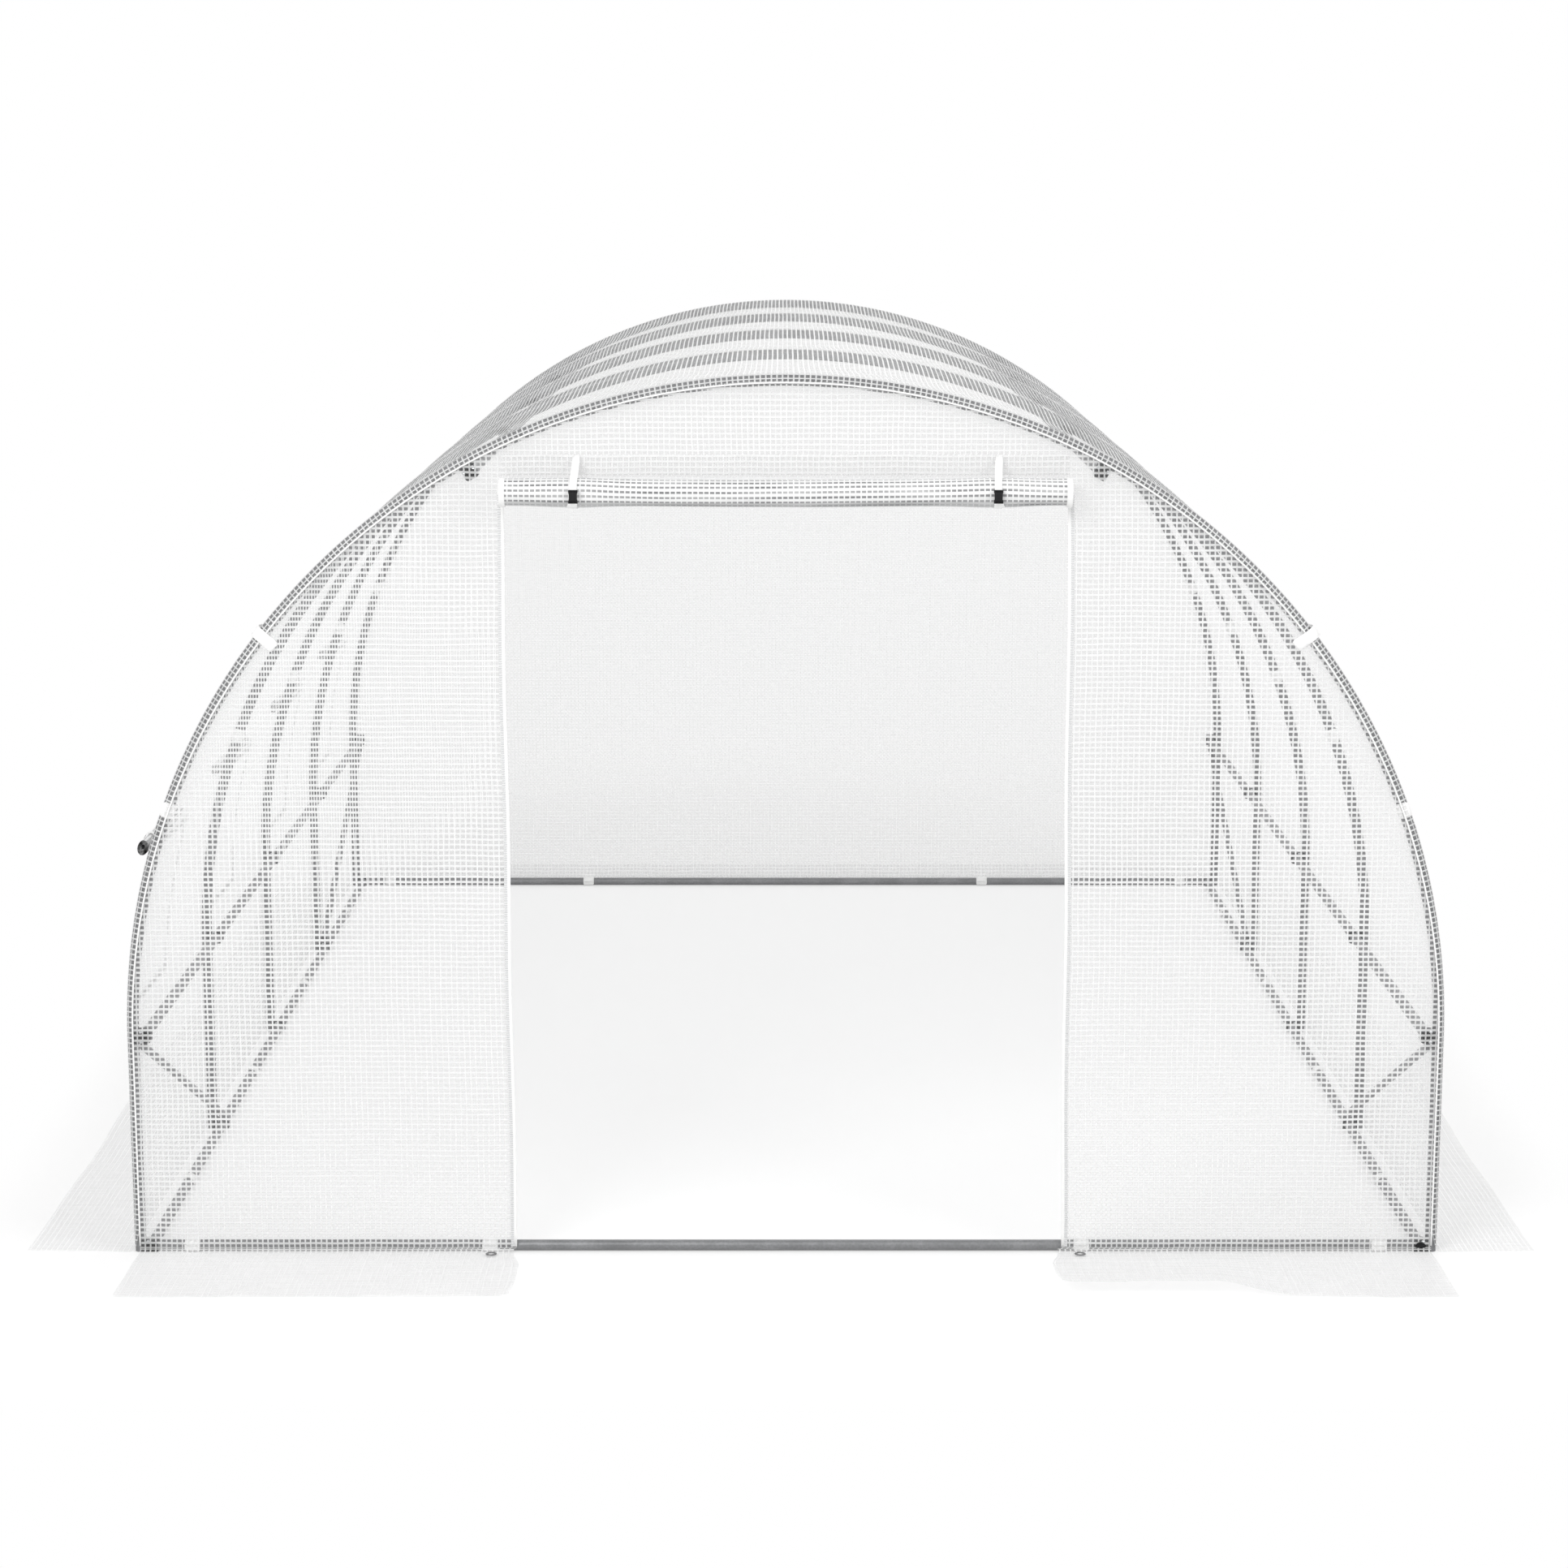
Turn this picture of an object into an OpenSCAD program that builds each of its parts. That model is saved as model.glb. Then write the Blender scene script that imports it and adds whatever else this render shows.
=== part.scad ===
// Polytunnel greenhouse: five tube hoops under a reinforced film cover.
// The front faces -Y. The origin is on the ground at the middle of the floor plan.

/* [Tunnel] */
// Width over the cover, from side to side
tunnel_w = 3000; // [2500:50:3600]
// Length over the two gable films
tunnel_l = 4000; // [3000:50:6000]
// Height of the upright legs, up to where the half-round arch starts
leg_h = 510; // [400:10:800]

/* [Frame] */
// Outside diameter of the hoops and of the long rails
tube_d = 25; // [20:1:32]
// Outside diameter of the diagonal braces
brace_d = 19; // [16:1:22]
// Angle up the arch at which the shoulder rails run
shoulder_a = 61.5; // [50:1:65]
// Thickness of the tube clamps round the rails
clamp_wall = 3; // [2:0.5:5]
// Thickness of the end caps on the rails
cap_t = 2; // [1:0.5:4]
// Height of the middle of a brace where it meets the leg above a foot
brace_foot_z = 42; // [40:1:80]

/* [Cover] */
// Thickness of the film
film_t = 2; // [1:0.5:4]
// Width of the flaps that lie on the ground along the two sides
side_flap_w = 230; // [100:10:400]
// Length of the flaps that lie on the ground in front of and behind the gables
gable_flap_l = 310; // [100:10:500]
// How far a gable flap stops short of the side of the tunnel
gable_flap_inset = 13; // [5:1:60]
// How far the front flaps reach into the width of the doorway
flap_overlap = 20; // [0:5:60]

/* [Door] */
// Width of the doorway
door_w = 1250; // [900:10:1500]
// Height of the crown of the arch above the top of the doorway
door_head = 258; // [240:2:400]
// Diameter of the rolled-up door
roll_d = 66; // [50:2:90]
// Width of the zip tape beside the doorway
zip_w = 10; // [6:1:20]
// Thickness of the zip tape
zip_t = 1.5; // [1:0.5:3]
// Width of the webbing ties that hold the rolled-up door
door_tie_w = 22; // [15:1:40]
// Distance between the middles of the two door ties
door_tie_span = 930; // [500:10:1100]
// Height of the sewn end of a door tie above the top of the doorway
door_tie_rise = 79; // [60:1:110]
// Width of the buckles on the door ties
buckle_w = 24; // [16:1:40]
// Height of the buckles on the door ties
buckle_h = 30; // [16:1:50]
// Thickness of the buckles on the door ties
buckle_t = 7; // [3:1:12]

/* [Ties and vents] */
// Thickness of the webbing
web_t = 1.2; // [0.8:0.1:2]
// Width of the ties that hold the film to the hoops and rails
tie_w = 36; // [20:1:60]
// Angle up the arch of the tie on each side of every hoop
tie_a = 20.7; // [15:0.1:28]
// Width of the narrow ties that hold the front gable to the first hoop
gable_tie_w = 26; // [15:1:40]
// Angle up the arch of the narrow ties
gable_tie_a = 38.3; // [32:0.1:50]
// Share of the half width at which the outer ties sit on a gable base rail
rail_tie_share = 0.91; // [0.86:0.01:0.95]
// Distance from the doorway to the middle of the inner ties on a gable base rail
rail_tie_door = 55; // [30:5:150]
// Diameter of the rolled-up vent flaps on the left side
vent_d = 40; // [25:1:60]
// Length of the rolled-up vent flaps
vent_l = 450; // [200:10:600]
// Angle up the arch at which the vent flaps are rolled up
vent_a = 16.5; // [10:0.5:20]
// Outside diameter of the eyelets beside the doorway
eyelet_d = 26; // [16:1:40]
// Hole through an eyelet
eyelet_hole_d = 12; // [6:1:15]
// Height of an eyelet's ring
eyelet_t = 2; // [1:0.5:4]
// Distance from the doorway to the middle of an eyelet
eyelet_out = 50; // [30:1:100]
// Distance from the gable film to the middle of an eyelet
eyelet_fwd = 25; // [17:1:60]

/* [Hidden] */

$fn = 32;
// Steps of a full circle on the large arch
arch_fn = 180;
// Gap between pieces that rest on each other
gap = 0.3;
// Number of hoops
hoops = 5;
// Number of arched pieces that the roof film is divided into
roof_parts = 6;
// Extra length of a cutting tool past the face that it cuts
over = 1;
// Straight steps of a door tie round the roll
wrap_steps = 16;

outer_r = tunnel_w / 2;
tube_r = tube_d / 2;
bore_r = tube_r + gap;
// Radius of the hoop's middle line
hoop_r = outer_r - film_t - gap - tube_r;
// Radius of the long rails' middle lines, just inside the hoops
rail_r = hoop_r - tube_d - gap;
// The two end hoops leave room for a tie between the tube and the gable film
end_hoop_y = tunnel_l / 2 - film_t - web_t - 2 * gap - tube_r;
bay_l = 2 * end_hoop_y / (hoops - 1);
cover_l = tunnel_l - 2 * film_t;
rail_l = cover_l - 2 * gap - 2 * cap_t;
crown_z = leg_h + outer_r;
door_z = crown_z - door_head;
// Half length of the base rails under the gables, up to the foot clamps
gable_rail_half = rail_r - bore_r - clamp_wall - gap;
// Middle of a brace where it meets the leg under the side rail
brace_top_z = leg_h - bore_r - clamp_wall - brace_d / 2 - gap;
brace_x = hoop_r - tube_r - gap - brace_d / 2;
roll_r = roll_d / 2;
roll_y = -tunnel_l / 2 - gap - roll_r;
band_r = roll_r + gap;
tie_out_r = bore_r + web_t;

steel = "#8d9094";
fitting = "#3c3e41";
film = "#f4f5f4";
rolled_film = "#dfe1e1";
webbing = "#ffffff";
black = "#1c1c1d";
metal = "#b9bcc0";

// Place of hoop number i along the tunnel, from the front
function hoop_y(i) = -end_hoop_y + i * bay_l;

// Puts a piece at an angle up the arch, with +X pointing outwards along the radius
module at_angle(a) {
    translate([0, 0, leg_h])
        rotate([0, -a, 0])
            children();
}

// Repeats a piece of the right side on the left side
module both_sides() {
    children();
    mirror([1, 0, 0])
        children();
}

// A straight tube along the tunnel
module long_tube(l) {
    rotate([90, 0, 0])
        cylinder(h = l, d = tube_d, center = true);
}

// ---- Frame ----

module hoop(i) {
    color(steel)
        translate([0, hoop_y(i), 0]) {
            translate([0, 0, leg_h])
                rotate([90, 0, 0])
                    rotate_extrude(angle = 180, $fn = arch_fn)
                        translate([hoop_r, 0])
                            circle(d = tube_d, $fn = 32);
            both_sides()
                translate([hoop_r, 0, 0])
                    cylinder(h = leg_h, d = tube_d);
        }
}

module right_base_rail() {
    color(steel)
        translate([rail_r, 0, tube_r])
            long_tube(rail_l);
}

module left_base_rail() {
    mirror([1, 0, 0])
        right_base_rail();
}

// The rail on the ground across a gable, on the line of the end hoop
module gable_base_rail(y) {
    color(steel)
        translate([0, y, tube_r])
            rotate([0, 90, 0])
                cylinder(h = 2 * gable_rail_half, d = tube_d, center = true);
}

module right_side_rail() {
    color(steel)
        translate([rail_r, 0, leg_h])
            long_tube(rail_l);
}

module left_side_rail() {
    mirror([1, 0, 0])
        right_side_rail();
}

module right_shoulder_rail() {
    color(steel)
        at_angle(shoulder_a)
            translate([rail_r, 0, 0])
                long_tube(rail_l);
}

module left_shoulder_rail() {
    mirror([1, 0, 0])
        right_shoulder_rail();
}

// A brace from the end hoop, under the side rail, down to the foot of the next hoop
module end_brace() {
    drop = brace_top_z - brace_foot_z;
    slope = atan2(drop, bay_l);
    color(steel)
        translate([brace_x, hoop_y(0), brace_top_z])
            rotate([-90 - slope, 0, 0])
                cylinder(h = norm([bay_l, drop]), d = brace_d);
}

module right_braces() {
    end_brace();
    mirror([0, 1, 0])
        end_brace();
}

module left_braces() {
    mirror([1, 0, 0])
        right_braces();
}

// A saddle round a long rail that bears on the inside of the hoop.
// +X points outwards, the rail runs along Y through the origin, the hoop along Z.
module rail_clamp(below) {
    reach = bore_r + clamp_wall;
    difference() {
        translate([-reach, -tube_r, -below])
            cube([hoop_r - rail_r + reach, tube_d, reach + below]);
        rotate([90, 0, 0])
            cylinder(h = tube_d + 2 * over, r = bore_r, center = true);
        translate([hoop_r - rail_r, 0, -below - over])
            cylinder(h = reach + below + 2 * over, r = bore_r);
    }
}

module foot_clamps() {
    color(fitting)
        both_sides()
            for (i = [0 : hoops - 1])
                translate([rail_r, hoop_y(i), tube_r])
                    rail_clamp(tube_r);
}

// One saddle on each hoop where a rail crosses it, at an angle up the arch
module arch_clamps(a) {
    color(fitting)
        both_sides()
            for (i = [0 : hoops - 1])
                at_angle(a)
                    translate([rail_r, hoop_y(i), 0])
                        rail_clamp(bore_r + clamp_wall);
}

// A cap on each end of the six long rails
module rail_caps() {
    color(black)
        both_sides()
            for (end = [-1, 1]) {
                y = end * (rail_l + cap_t) / 2;
                translate([rail_r, y, tube_r])
                    long_tube_cap();
                for (a = [0, shoulder_a])
                    at_angle(a)
                        translate([rail_r, y, 0])
                            long_tube_cap();
            }
}

module long_tube_cap() {
    rotate([90, 0, 0])
        cylinder(h = cap_t, d = tube_d, center = true);
}

// ---- Cover ----

module right_wall_film() {
    color(film)
        translate([outer_r - film_t, -cover_l / 2, 0])
            cube([film_t, cover_l, leg_h]);
}

module left_wall_film() {
    mirror([1, 0, 0])
        right_wall_film();
}

// One arched piece of the roof film, counted from the right side over to the left
module roof_film(n) {
    part_a = 180 / roof_parts;
    color(film)
        translate([0, 0, leg_h])
            rotate([90, 0, 0])
                rotate_extrude(angle = part_a, start = (n - 1) * part_a, $fn = arch_fn)
                    translate([outer_r - film_t, -cover_l / 2])
                        square([film_t, cover_l]);
}

// The outline of a gable, standing with its outer face at -Y on the origin plane
module gable_outline() {
    translate([0, film_t, leg_h])
        rotate([90, 0, 0])
            cylinder(h = film_t, r = outer_r, $fn = arch_fn);
    translate([-outer_r, 0, 0])
        cube([tunnel_w, film_t, leg_h]);
}

// The part of a gable's outline above z0, between x0 and x1
module gable_part(x0, x1, z0) {
    intersection() {
        gable_outline();
        translate([x0, -over, z0])
            cube([x1 - x0, film_t + 2 * over, crown_z + over - z0]);
    }
}

module back_film() {
    color(film)
        translate([0, tunnel_l / 2 - film_t, 0])
            gable_part(-outer_r - over, outer_r + over, 0);
}

module front_right_film() {
    color(film)
        translate([0, -tunnel_l / 2, 0])
            gable_part(door_w / 2, outer_r + over, 0);
}

module front_left_film() {
    mirror([1, 0, 0])
        front_right_film();
}

module front_top_film() {
    color(film)
        translate([0, -tunnel_l / 2, 0])
            gable_part(-door_w / 2, door_w / 2, door_z);
}

// ---- Flaps on the ground ----

module right_flap() {
    color(film)
        translate([outer_r, -tunnel_l / 2, 0])
            cube([side_flap_w, tunnel_l, film_t]);
}

module left_flap() {
    mirror([1, 0, 0])
        right_flap();
}

module front_right_flap() {
    inner_x = door_w / 2 - flap_overlap;
    color(film)
        translate([inner_x, -tunnel_l / 2 - gable_flap_l, 0])
            cube([outer_r - gable_flap_inset - inner_x, gable_flap_l, film_t]);
}

module front_left_flap() {
    mirror([1, 0, 0])
        front_right_flap();
}

module back_flap() {
    half = outer_r - gable_flap_inset;
    color(film)
        translate([-half, tunnel_l / 2, 0])
            cube([2 * half, gable_flap_l, film_t]);
}

// ---- Door ----

module rolled_door() {
    color(rolled_film)
        translate([0, roll_y, door_z])
            rotate([0, 90, 0])
                cylinder(h = door_w, d = roll_d, center = true, $fn = 48);
}

// A webbing band, sewn to the gable above the roll, drawn taut over the roll's front
// and back under it. Its outline lies in the plane of Y and Z, with the roll's middle at 0.
module door_tie() {
    back = -tunnel_l / 2 - gap - roll_y;
    top = [back, door_tie_rise];
    touch_a = atan2(door_tie_rise, back) + acos(band_r / norm(top));
    touch = [cos(touch_a), sin(touch_a)];
    wrap = [for (k = [0 : wrap_steps]) touch_a + (270 - touch_a) * k / wrap_steps];
    outer = [for (a = wrap) (band_r + web_t) * [cos(a), sin(a)]];
    inner = [for (k = [wrap_steps : -1 : 0]) band_r * [cos(wrap[k]), sin(wrap[k])]];
    tail = [[back, -band_r - web_t], [back, -band_r]];
    translate([0, roll_y, door_z])
        rotate([90, 0, 90])
            linear_extrude(height = door_tie_w, center = true)
                polygon(concat([top, top + web_t * touch], outer, tail, inner));
}

module door_ties() {
    color(webbing)
        both_sides()
            translate([door_tie_span / 2, 0, 0])
                door_tie();
}

module door_buckles() {
    front_y = roll_y - band_r - web_t - gap;
    color(black)
        both_sides()
            translate([door_tie_span / 2 - buckle_w / 2, front_y - buckle_t, door_z - buckle_h * 0.8])
                cube([buckle_w, buckle_t, buckle_h]);
}

module zip_tapes() {
    color(webbing)
        both_sides()
            translate([door_w / 2, -tunnel_l / 2 - zip_t, film_t + gap])
                cube([zip_w, zip_t, door_z - film_t - gap]);
}

// ---- Ties, vents and eyelets ----

// A tie passed round the inner side of a hoop and sewn to the film outside it.
// +X points outwards, the hoop runs along Z through the origin.
module hoop_tie(w) {
    arm_l = tube_r + gap;
    translate([0, 0, -w / 2]) {
        difference() {
            cylinder(h = w, r = tie_out_r);
            translate([0, 0, -over])
                cylinder(h = w + 2 * over, r = bore_r);
            translate([0, -tie_out_r - over, -over])
                cube([tie_out_r + over, 2 * (tie_out_r + over), w + 2 * over]);
        }
        for (side = [-tie_out_r, bore_r])
            translate([0, side, 0])
                cube([arm_l - gap, web_t, w]);
    }
}

module hoop_ties() {
    color(webbing)
        both_sides()
            for (i = [0 : hoops - 1])
                at_angle(tie_a)
                    translate([hoop_r, hoop_y(i), 0])
                        hoop_tie(tie_w);
}

module gable_ties() {
    color(webbing)
        both_sides()
            at_angle(gable_tie_a)
                translate([hoop_r, hoop_y(0), 0])
                    hoop_tie(gable_tie_w);
}

// A tie over a rail on the ground. The rail runs along Y, with its middle at the origin.
module rail_tie() {
    rotate([90, 0, 0])
        translate([0, 0, -tie_w / 2]) {
            difference() {
                cylinder(h = tie_w, r = tie_out_r);
                translate([0, 0, -over])
                    cylinder(h = tie_w + 2 * over, r = bore_r);
                translate([-tie_out_r - over, -tie_out_r - over, -over])
                    cube([2 * (tie_out_r + over), tie_out_r + over, tie_w + 2 * over]);
            }
            for (side = [-tie_out_r, bore_r])
                translate([side, gap - tube_r, 0])
                    cube([web_t, tube_r - gap, tie_w]);
        }
}

module rail_ties() {
    color(webbing)
        both_sides() {
            for (i = [0 : hoops - 2])
                translate([rail_r, hoop_y(i) + bay_l / 2, tube_r])
                    rail_tie();
            for (y = [hoop_y(0), hoop_y(hoops - 1)], x = [door_w / 2 + rail_tie_door, outer_r * rail_tie_share])
                translate([x, y, tube_r])
                    rotate([0, 0, 90])
                        rail_tie();
        }
}

// Rolled-up vent flaps on the outside of the left side, one behind each of four hoops
module vent_rolls() {
    color(rolled_film)
        mirror([1, 0, 0])
            for (i = [0 : hoops - 2])
                at_angle(vent_a)
                    translate([outer_r + gap + vent_d / 2, hoop_y(i), 0])
                        rotate([-90, 0, 0])
                            cylinder(h = vent_l, d = vent_d);
}

module eyelets() {
    color(metal)
        both_sides()
            translate([door_w / 2 + eyelet_out, -tunnel_l / 2 - eyelet_fwd, film_t])
                difference() {
                    cylinder(h = eyelet_t, d = eyelet_d);
                    translate([0, 0, -over])
                        cylinder(h = eyelet_t + 2 * over, d = eyelet_hole_d);
                }
}

hoop(0);  // hoop_1
hoop(1);  // hoop_2
hoop(2);  // hoop_3
hoop(3);  // hoop_4
hoop(4);  // hoop_5
left_base_rail();
right_base_rail();
gable_base_rail(hoop_y(0));  // front_base_rail
gable_base_rail(hoop_y(hoops - 1));  // back_base_rail
left_side_rail();
right_side_rail();
left_shoulder_rail();
right_shoulder_rail();
left_braces();
right_braces();
foot_clamps();
arch_clamps(0);  // side_clamps
arch_clamps(shoulder_a);  // shoulder_clamps
rail_caps();
right_wall_film();
left_wall_film();
roof_film(1);  // roof_film_1
roof_film(2);  // roof_film_2
roof_film(3);  // roof_film_3
roof_film(4);  // roof_film_4
roof_film(5);  // roof_film_5
roof_film(6);  // roof_film_6
back_film();
front_left_film();
front_right_film();
front_top_film();
left_flap();
right_flap();
front_left_flap();
front_right_flap();
back_flap();
rolled_door();
door_ties();
door_buckles();
zip_tapes();
hoop_ties();
gable_ties();
rail_ties();
vent_rolls();
eyelets();
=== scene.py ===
"""Looks of a polytunnel greenhouse: reinforced film, galvanised tube, webbing ties and fittings.

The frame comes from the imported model. Everything is in metres, +Z up, with the front at -Y.
"""

import math

import bmesh
import bpy
import numpy as np
from mathutils import Matrix, Vector


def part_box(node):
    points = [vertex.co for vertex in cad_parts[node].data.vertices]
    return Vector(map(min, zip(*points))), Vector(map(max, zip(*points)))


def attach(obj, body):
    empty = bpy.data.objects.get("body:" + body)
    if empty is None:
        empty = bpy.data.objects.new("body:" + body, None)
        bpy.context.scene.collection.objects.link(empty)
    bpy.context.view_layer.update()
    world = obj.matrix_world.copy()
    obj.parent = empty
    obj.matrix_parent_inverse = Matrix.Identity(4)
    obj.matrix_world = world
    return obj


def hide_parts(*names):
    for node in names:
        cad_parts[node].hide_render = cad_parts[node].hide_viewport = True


bl_info = {
    "name": "Polytunnel greenhouse",
    "version": (1, 0, 0),
    "blender": (4, 5, 0),
    "location": "View3D > Sidebar > Polytunnel",
    "description": "Builds the cover, door, ties and fittings round the packed frame",
    "category": "Object",
}

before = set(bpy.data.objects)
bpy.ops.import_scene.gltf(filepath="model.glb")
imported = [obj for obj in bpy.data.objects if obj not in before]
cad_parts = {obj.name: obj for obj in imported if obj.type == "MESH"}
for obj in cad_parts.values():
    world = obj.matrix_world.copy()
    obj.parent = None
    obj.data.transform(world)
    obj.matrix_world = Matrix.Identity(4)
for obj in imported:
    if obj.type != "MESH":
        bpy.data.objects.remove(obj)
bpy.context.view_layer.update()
X, Y, Z = 0, 1, 2


def middle(node, axis):
    """The middle of a CAD node's box along X, Y or Z."""
    low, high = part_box(node)
    return (low[axis] + high[axis]) / 2


def size(node, axis):
    """The size of a CAD node's box along X, Y or Z."""
    low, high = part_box(node)
    return high[axis] - low[axis]


HOOPS = [f"hoop_{n}" for n in range(1, 6)]
HOOP_YS = [middle(hoop, Y) for hoop in HOOPS]
BAY = HOOP_YS[1] - HOOP_YS[0]
TUBE_D = size(HOOPS[0], Y)
TUBE_R = TUBE_D / 2
HOOP_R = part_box(HOOPS[0])[1].x - TUBE_R
LEG_H = middle("right_side_rail", Z)
RAIL_R = middle("right_base_rail", X)
RAIL_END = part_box("right_base_rail")[1].y
SHOULDER_A = math.atan2(
    middle("right_shoulder_rail", Z) - LEG_H, middle("right_shoulder_rail", X)
)
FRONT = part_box("front_left_film")[0].y
WALL_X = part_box("right_wall_film")[1].x
FLAP_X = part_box("right_flap")[1].x
DOOR_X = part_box("front_right_film")[0].x
DOOR_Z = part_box("front_top_film")[0].z
GABLE_FLAP_IN, GABLE_FLAP_OUT = [corner.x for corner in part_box("front_right_flap")]
GABLE_FLAP_L = size("front_right_flap", Y)
ROLL_R = size("rolled_door", Z) / 2
ROLL_Y = middle("rolled_door", Y)
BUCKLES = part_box("door_buckles")
TIE_SPAN = BUCKLES[1].x - (BUCKLES[1].z - BUCKLES[0].z) * 0.4
GAP = 0.0003


# ---- Sizes and colours a user may change ----


class TunnelCloth(bpy.types.PropertyGroup):
    """Sizes of the film and of what is sewn to it"""

    pitch: bpy.props.FloatProperty(
        name="Thread pitch",
        description="Distance between two reinforcing threads",
        default=0.0123,
        min=0.004,
        max=0.03,
        unit="LENGTH",
    )
    thread: bpy.props.FloatProperty(
        name="Thread width",
        description="Width of a main thread of the film",
        default=0.0047,
        min=0.0005,
        max=0.01,
        unit="LENGTH",
    )
    cross_thread: bpy.props.FloatProperty(
        name="Cross thread width",
        description="Width of a thread that crosses the main threads",
        default=0.0035,
        min=0.0005,
        max=0.01,
        unit="LENGTH",
    )
    haze: bpy.props.FloatProperty(
        name="Haze",
        description="Share of a clear cell that looks white",
        default=0.07,
        min=0.0,
        max=1.0,
        subtype="FACTOR",
    )
    clear: bpy.props.FloatProperty(
        name="Clearness",
        description="Share of the light that a clear cell lets through",
        default=0.9,
        min=0.0,
        max=1.0,
        subtype="FACTOR",
    )
    roof_sag: bpy.props.FloatProperty(
        name="Roof sag",
        description="How far the film sinks in between two hoops on the roof",
        default=0.012,
        min=0.0,
        max=0.05,
        unit="LENGTH",
    )
    wave: bpy.props.FloatProperty(
        name="Wave",
        description="Height of the waves in the gables and in the flaps on the ground",
        default=0.004,
        min=0.0,
        max=0.02,
        unit="LENGTH",
    )
    seam: bpy.props.FloatProperty(
        name="Seam width",
        description="Width of the seam that joins the cover to a gable",
        default=0.0042,
        min=0.001,
        max=0.02,
        unit="LENGTH",
    )
    webbing: bpy.props.FloatProperty(
        name="Webbing thickness",
        description="Thickness of the ties",
        default=0.0012,
        min=0.0005,
        max=0.003,
        unit="LENGTH",
    )


class TunnelColours(bpy.types.PropertyGroup):
    """Colours of the finishes"""

    film: bpy.props.FloatVectorProperty(
        name="Film",
        description="Colour of the threads and of the film",
        default=(0.95, 0.95, 0.95),
        min=0.0,
        max=1.0,
        subtype="COLOR",
    )
    # Partly painted shade: the grey between the threads of a roll is partly the many layers of film and
    # partly the shade inside the roll.
    layers_and_shade: bpy.props.FloatVectorProperty(
        name="Rolled film",
        description="Colour between the threads where many layers are rolled up",
        default=(0.27, 0.275, 0.28),
        min=0.0,
        max=1.0,
        subtype="COLOR",
    )
    tube: bpy.props.FloatVectorProperty(
        name="Tube",
        description="Colour of the galvanised tube",
        default=(0.205, 0.208, 0.213),
        min=0.0,
        max=1.0,
        subtype="COLOR",
    )
    clamp: bpy.props.FloatVectorProperty(
        name="Clamp",
        description="Colour of the painted clamps",
        default=(0.045, 0.047, 0.05),
        min=0.0,
        max=1.0,
        subtype="COLOR",
    )
    webbing: bpy.props.FloatVectorProperty(
        name="Webbing",
        description="Colour of the ties and of the zip tapes",
        default=(0.95, 0.95, 0.945),
        min=0.0,
        max=1.0,
        subtype="COLOR",
    )
    plastic: bpy.props.FloatVectorProperty(
        name="Plastic",
        description="Colour of the buckles and caps",
        default=(0.012, 0.012, 0.013),
        min=0.0,
        max=1.0,
        subtype="COLOR",
    )


# ---- Materials ----


def put(tree, kind, inputs=None, **settings):
    """Adds a shader node. An input given as a socket is linked, and one given as a value is set."""
    made = tree.nodes.new("ShaderNode" + kind)
    for key, value in settings.items():
        setattr(made, key, value)
    for key, value in (inputs or {}).items():
        if isinstance(value, bpy.types.NodeSocket):
            tree.links.new(value, made.inputs[key])
        else:
            made.inputs[key].default_value = value
    return made


def calc(tree, operation, *values):
    """The result of a Math node."""
    return put(tree, "Math", dict(enumerate(values)), operation=operation).outputs[0]


def blend_value(tree, low_in, high_in, value, low_out=0.0, high_out=1.0):
    """A value taken smoothly from one range to another."""
    return put(
        tree,
        "MapRange",
        {
            "Value": value,
            "From Min": low_in,
            "From Max": high_in,
            "To Min": low_out,
            "To Max": high_out,
        },
        interpolation_type="SMOOTHSTEP",
    ).outputs[0]


def ramp(tree, value, *stops):
    """A colour ramp through (place, grey or colour) stops."""
    made = put(tree, "ValToRGB", {"Fac": value})
    elements = made.color_ramp.elements
    while len(elements) < len(stops):
        elements.new(0.5)
    for element, (place, colour) in zip(elements, stops):
        element.position = place
        rgb = (colour,) * 3 if isinstance(colour, (int, float)) else tuple(colour)
        element.color = (*rgb, 1)
    return made.outputs[0]


def new_material(name):
    """An empty node material and its tree."""
    made = bpy.data.materials.new(name)
    made.use_nodes = True
    made.node_tree.nodes.clear()
    return made, made.node_tree


def output(tree, shader):
    """Ends the tree in this shader."""
    put(tree, "OutputMaterial", {"Surface": shader})


def noise(tree, place, scale, detail):
    """The value of a noise texture."""
    inputs = {"Vector": place, "Scale": scale, "Detail": detail}
    return put(tree, "TexNoise", inputs).outputs["Fac"]


def drawn_out(tree, place, by):
    """A place multiplied along each axis, which draws out the pattern that is read there."""
    return put(tree, "VectorMath", {0: place, 1: by}, operation="MULTIPLY").outputs[0]


def bumps(tree, height, strength, deep):
    """The surface's direction with this height pressed into it."""
    inputs = {"Height": height, "Strength": strength, "Distance": deep}
    return put(tree, "Bump", inputs).outputs[0]


def surface(tree, colour, rough, bump, more):
    """The main shader of a finish. more holds its other inputs."""
    inputs = {"Base Color": colour, "Roughness": rough, "Normal": bump, **more}
    return put(tree, "BsdfPrincipled", inputs).outputs[0]


def mixed(tree, share, first, second):
    """Two shaders, with this share of the second."""
    return put(tree, "MixShader", {0: share, 1: first, 2: second}).outputs[0]


def thread_lines(tree, place, pitch, width, phase, apart=None):
    """1 on the threads that cross this coordinate and 0 between them.

    apart splits each thread in two, this far to both sides of its place.
    """
    turns = calc(tree, "MULTIPLY_ADD", place, 1 / pitch, phase)
    away = calc(tree, "PINGPONG", turns, 0.5)
    if apart is not None:
        away = calc(tree, "ABSOLUTE", calc(tree, "MULTIPLY_ADD", apart, -1 / pitch, away))
    soft = 0.12 * width
    return blend_value(
        tree, (width / 2 + soft) / pitch, (width / 2 - soft) / pitch, away
    )


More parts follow.
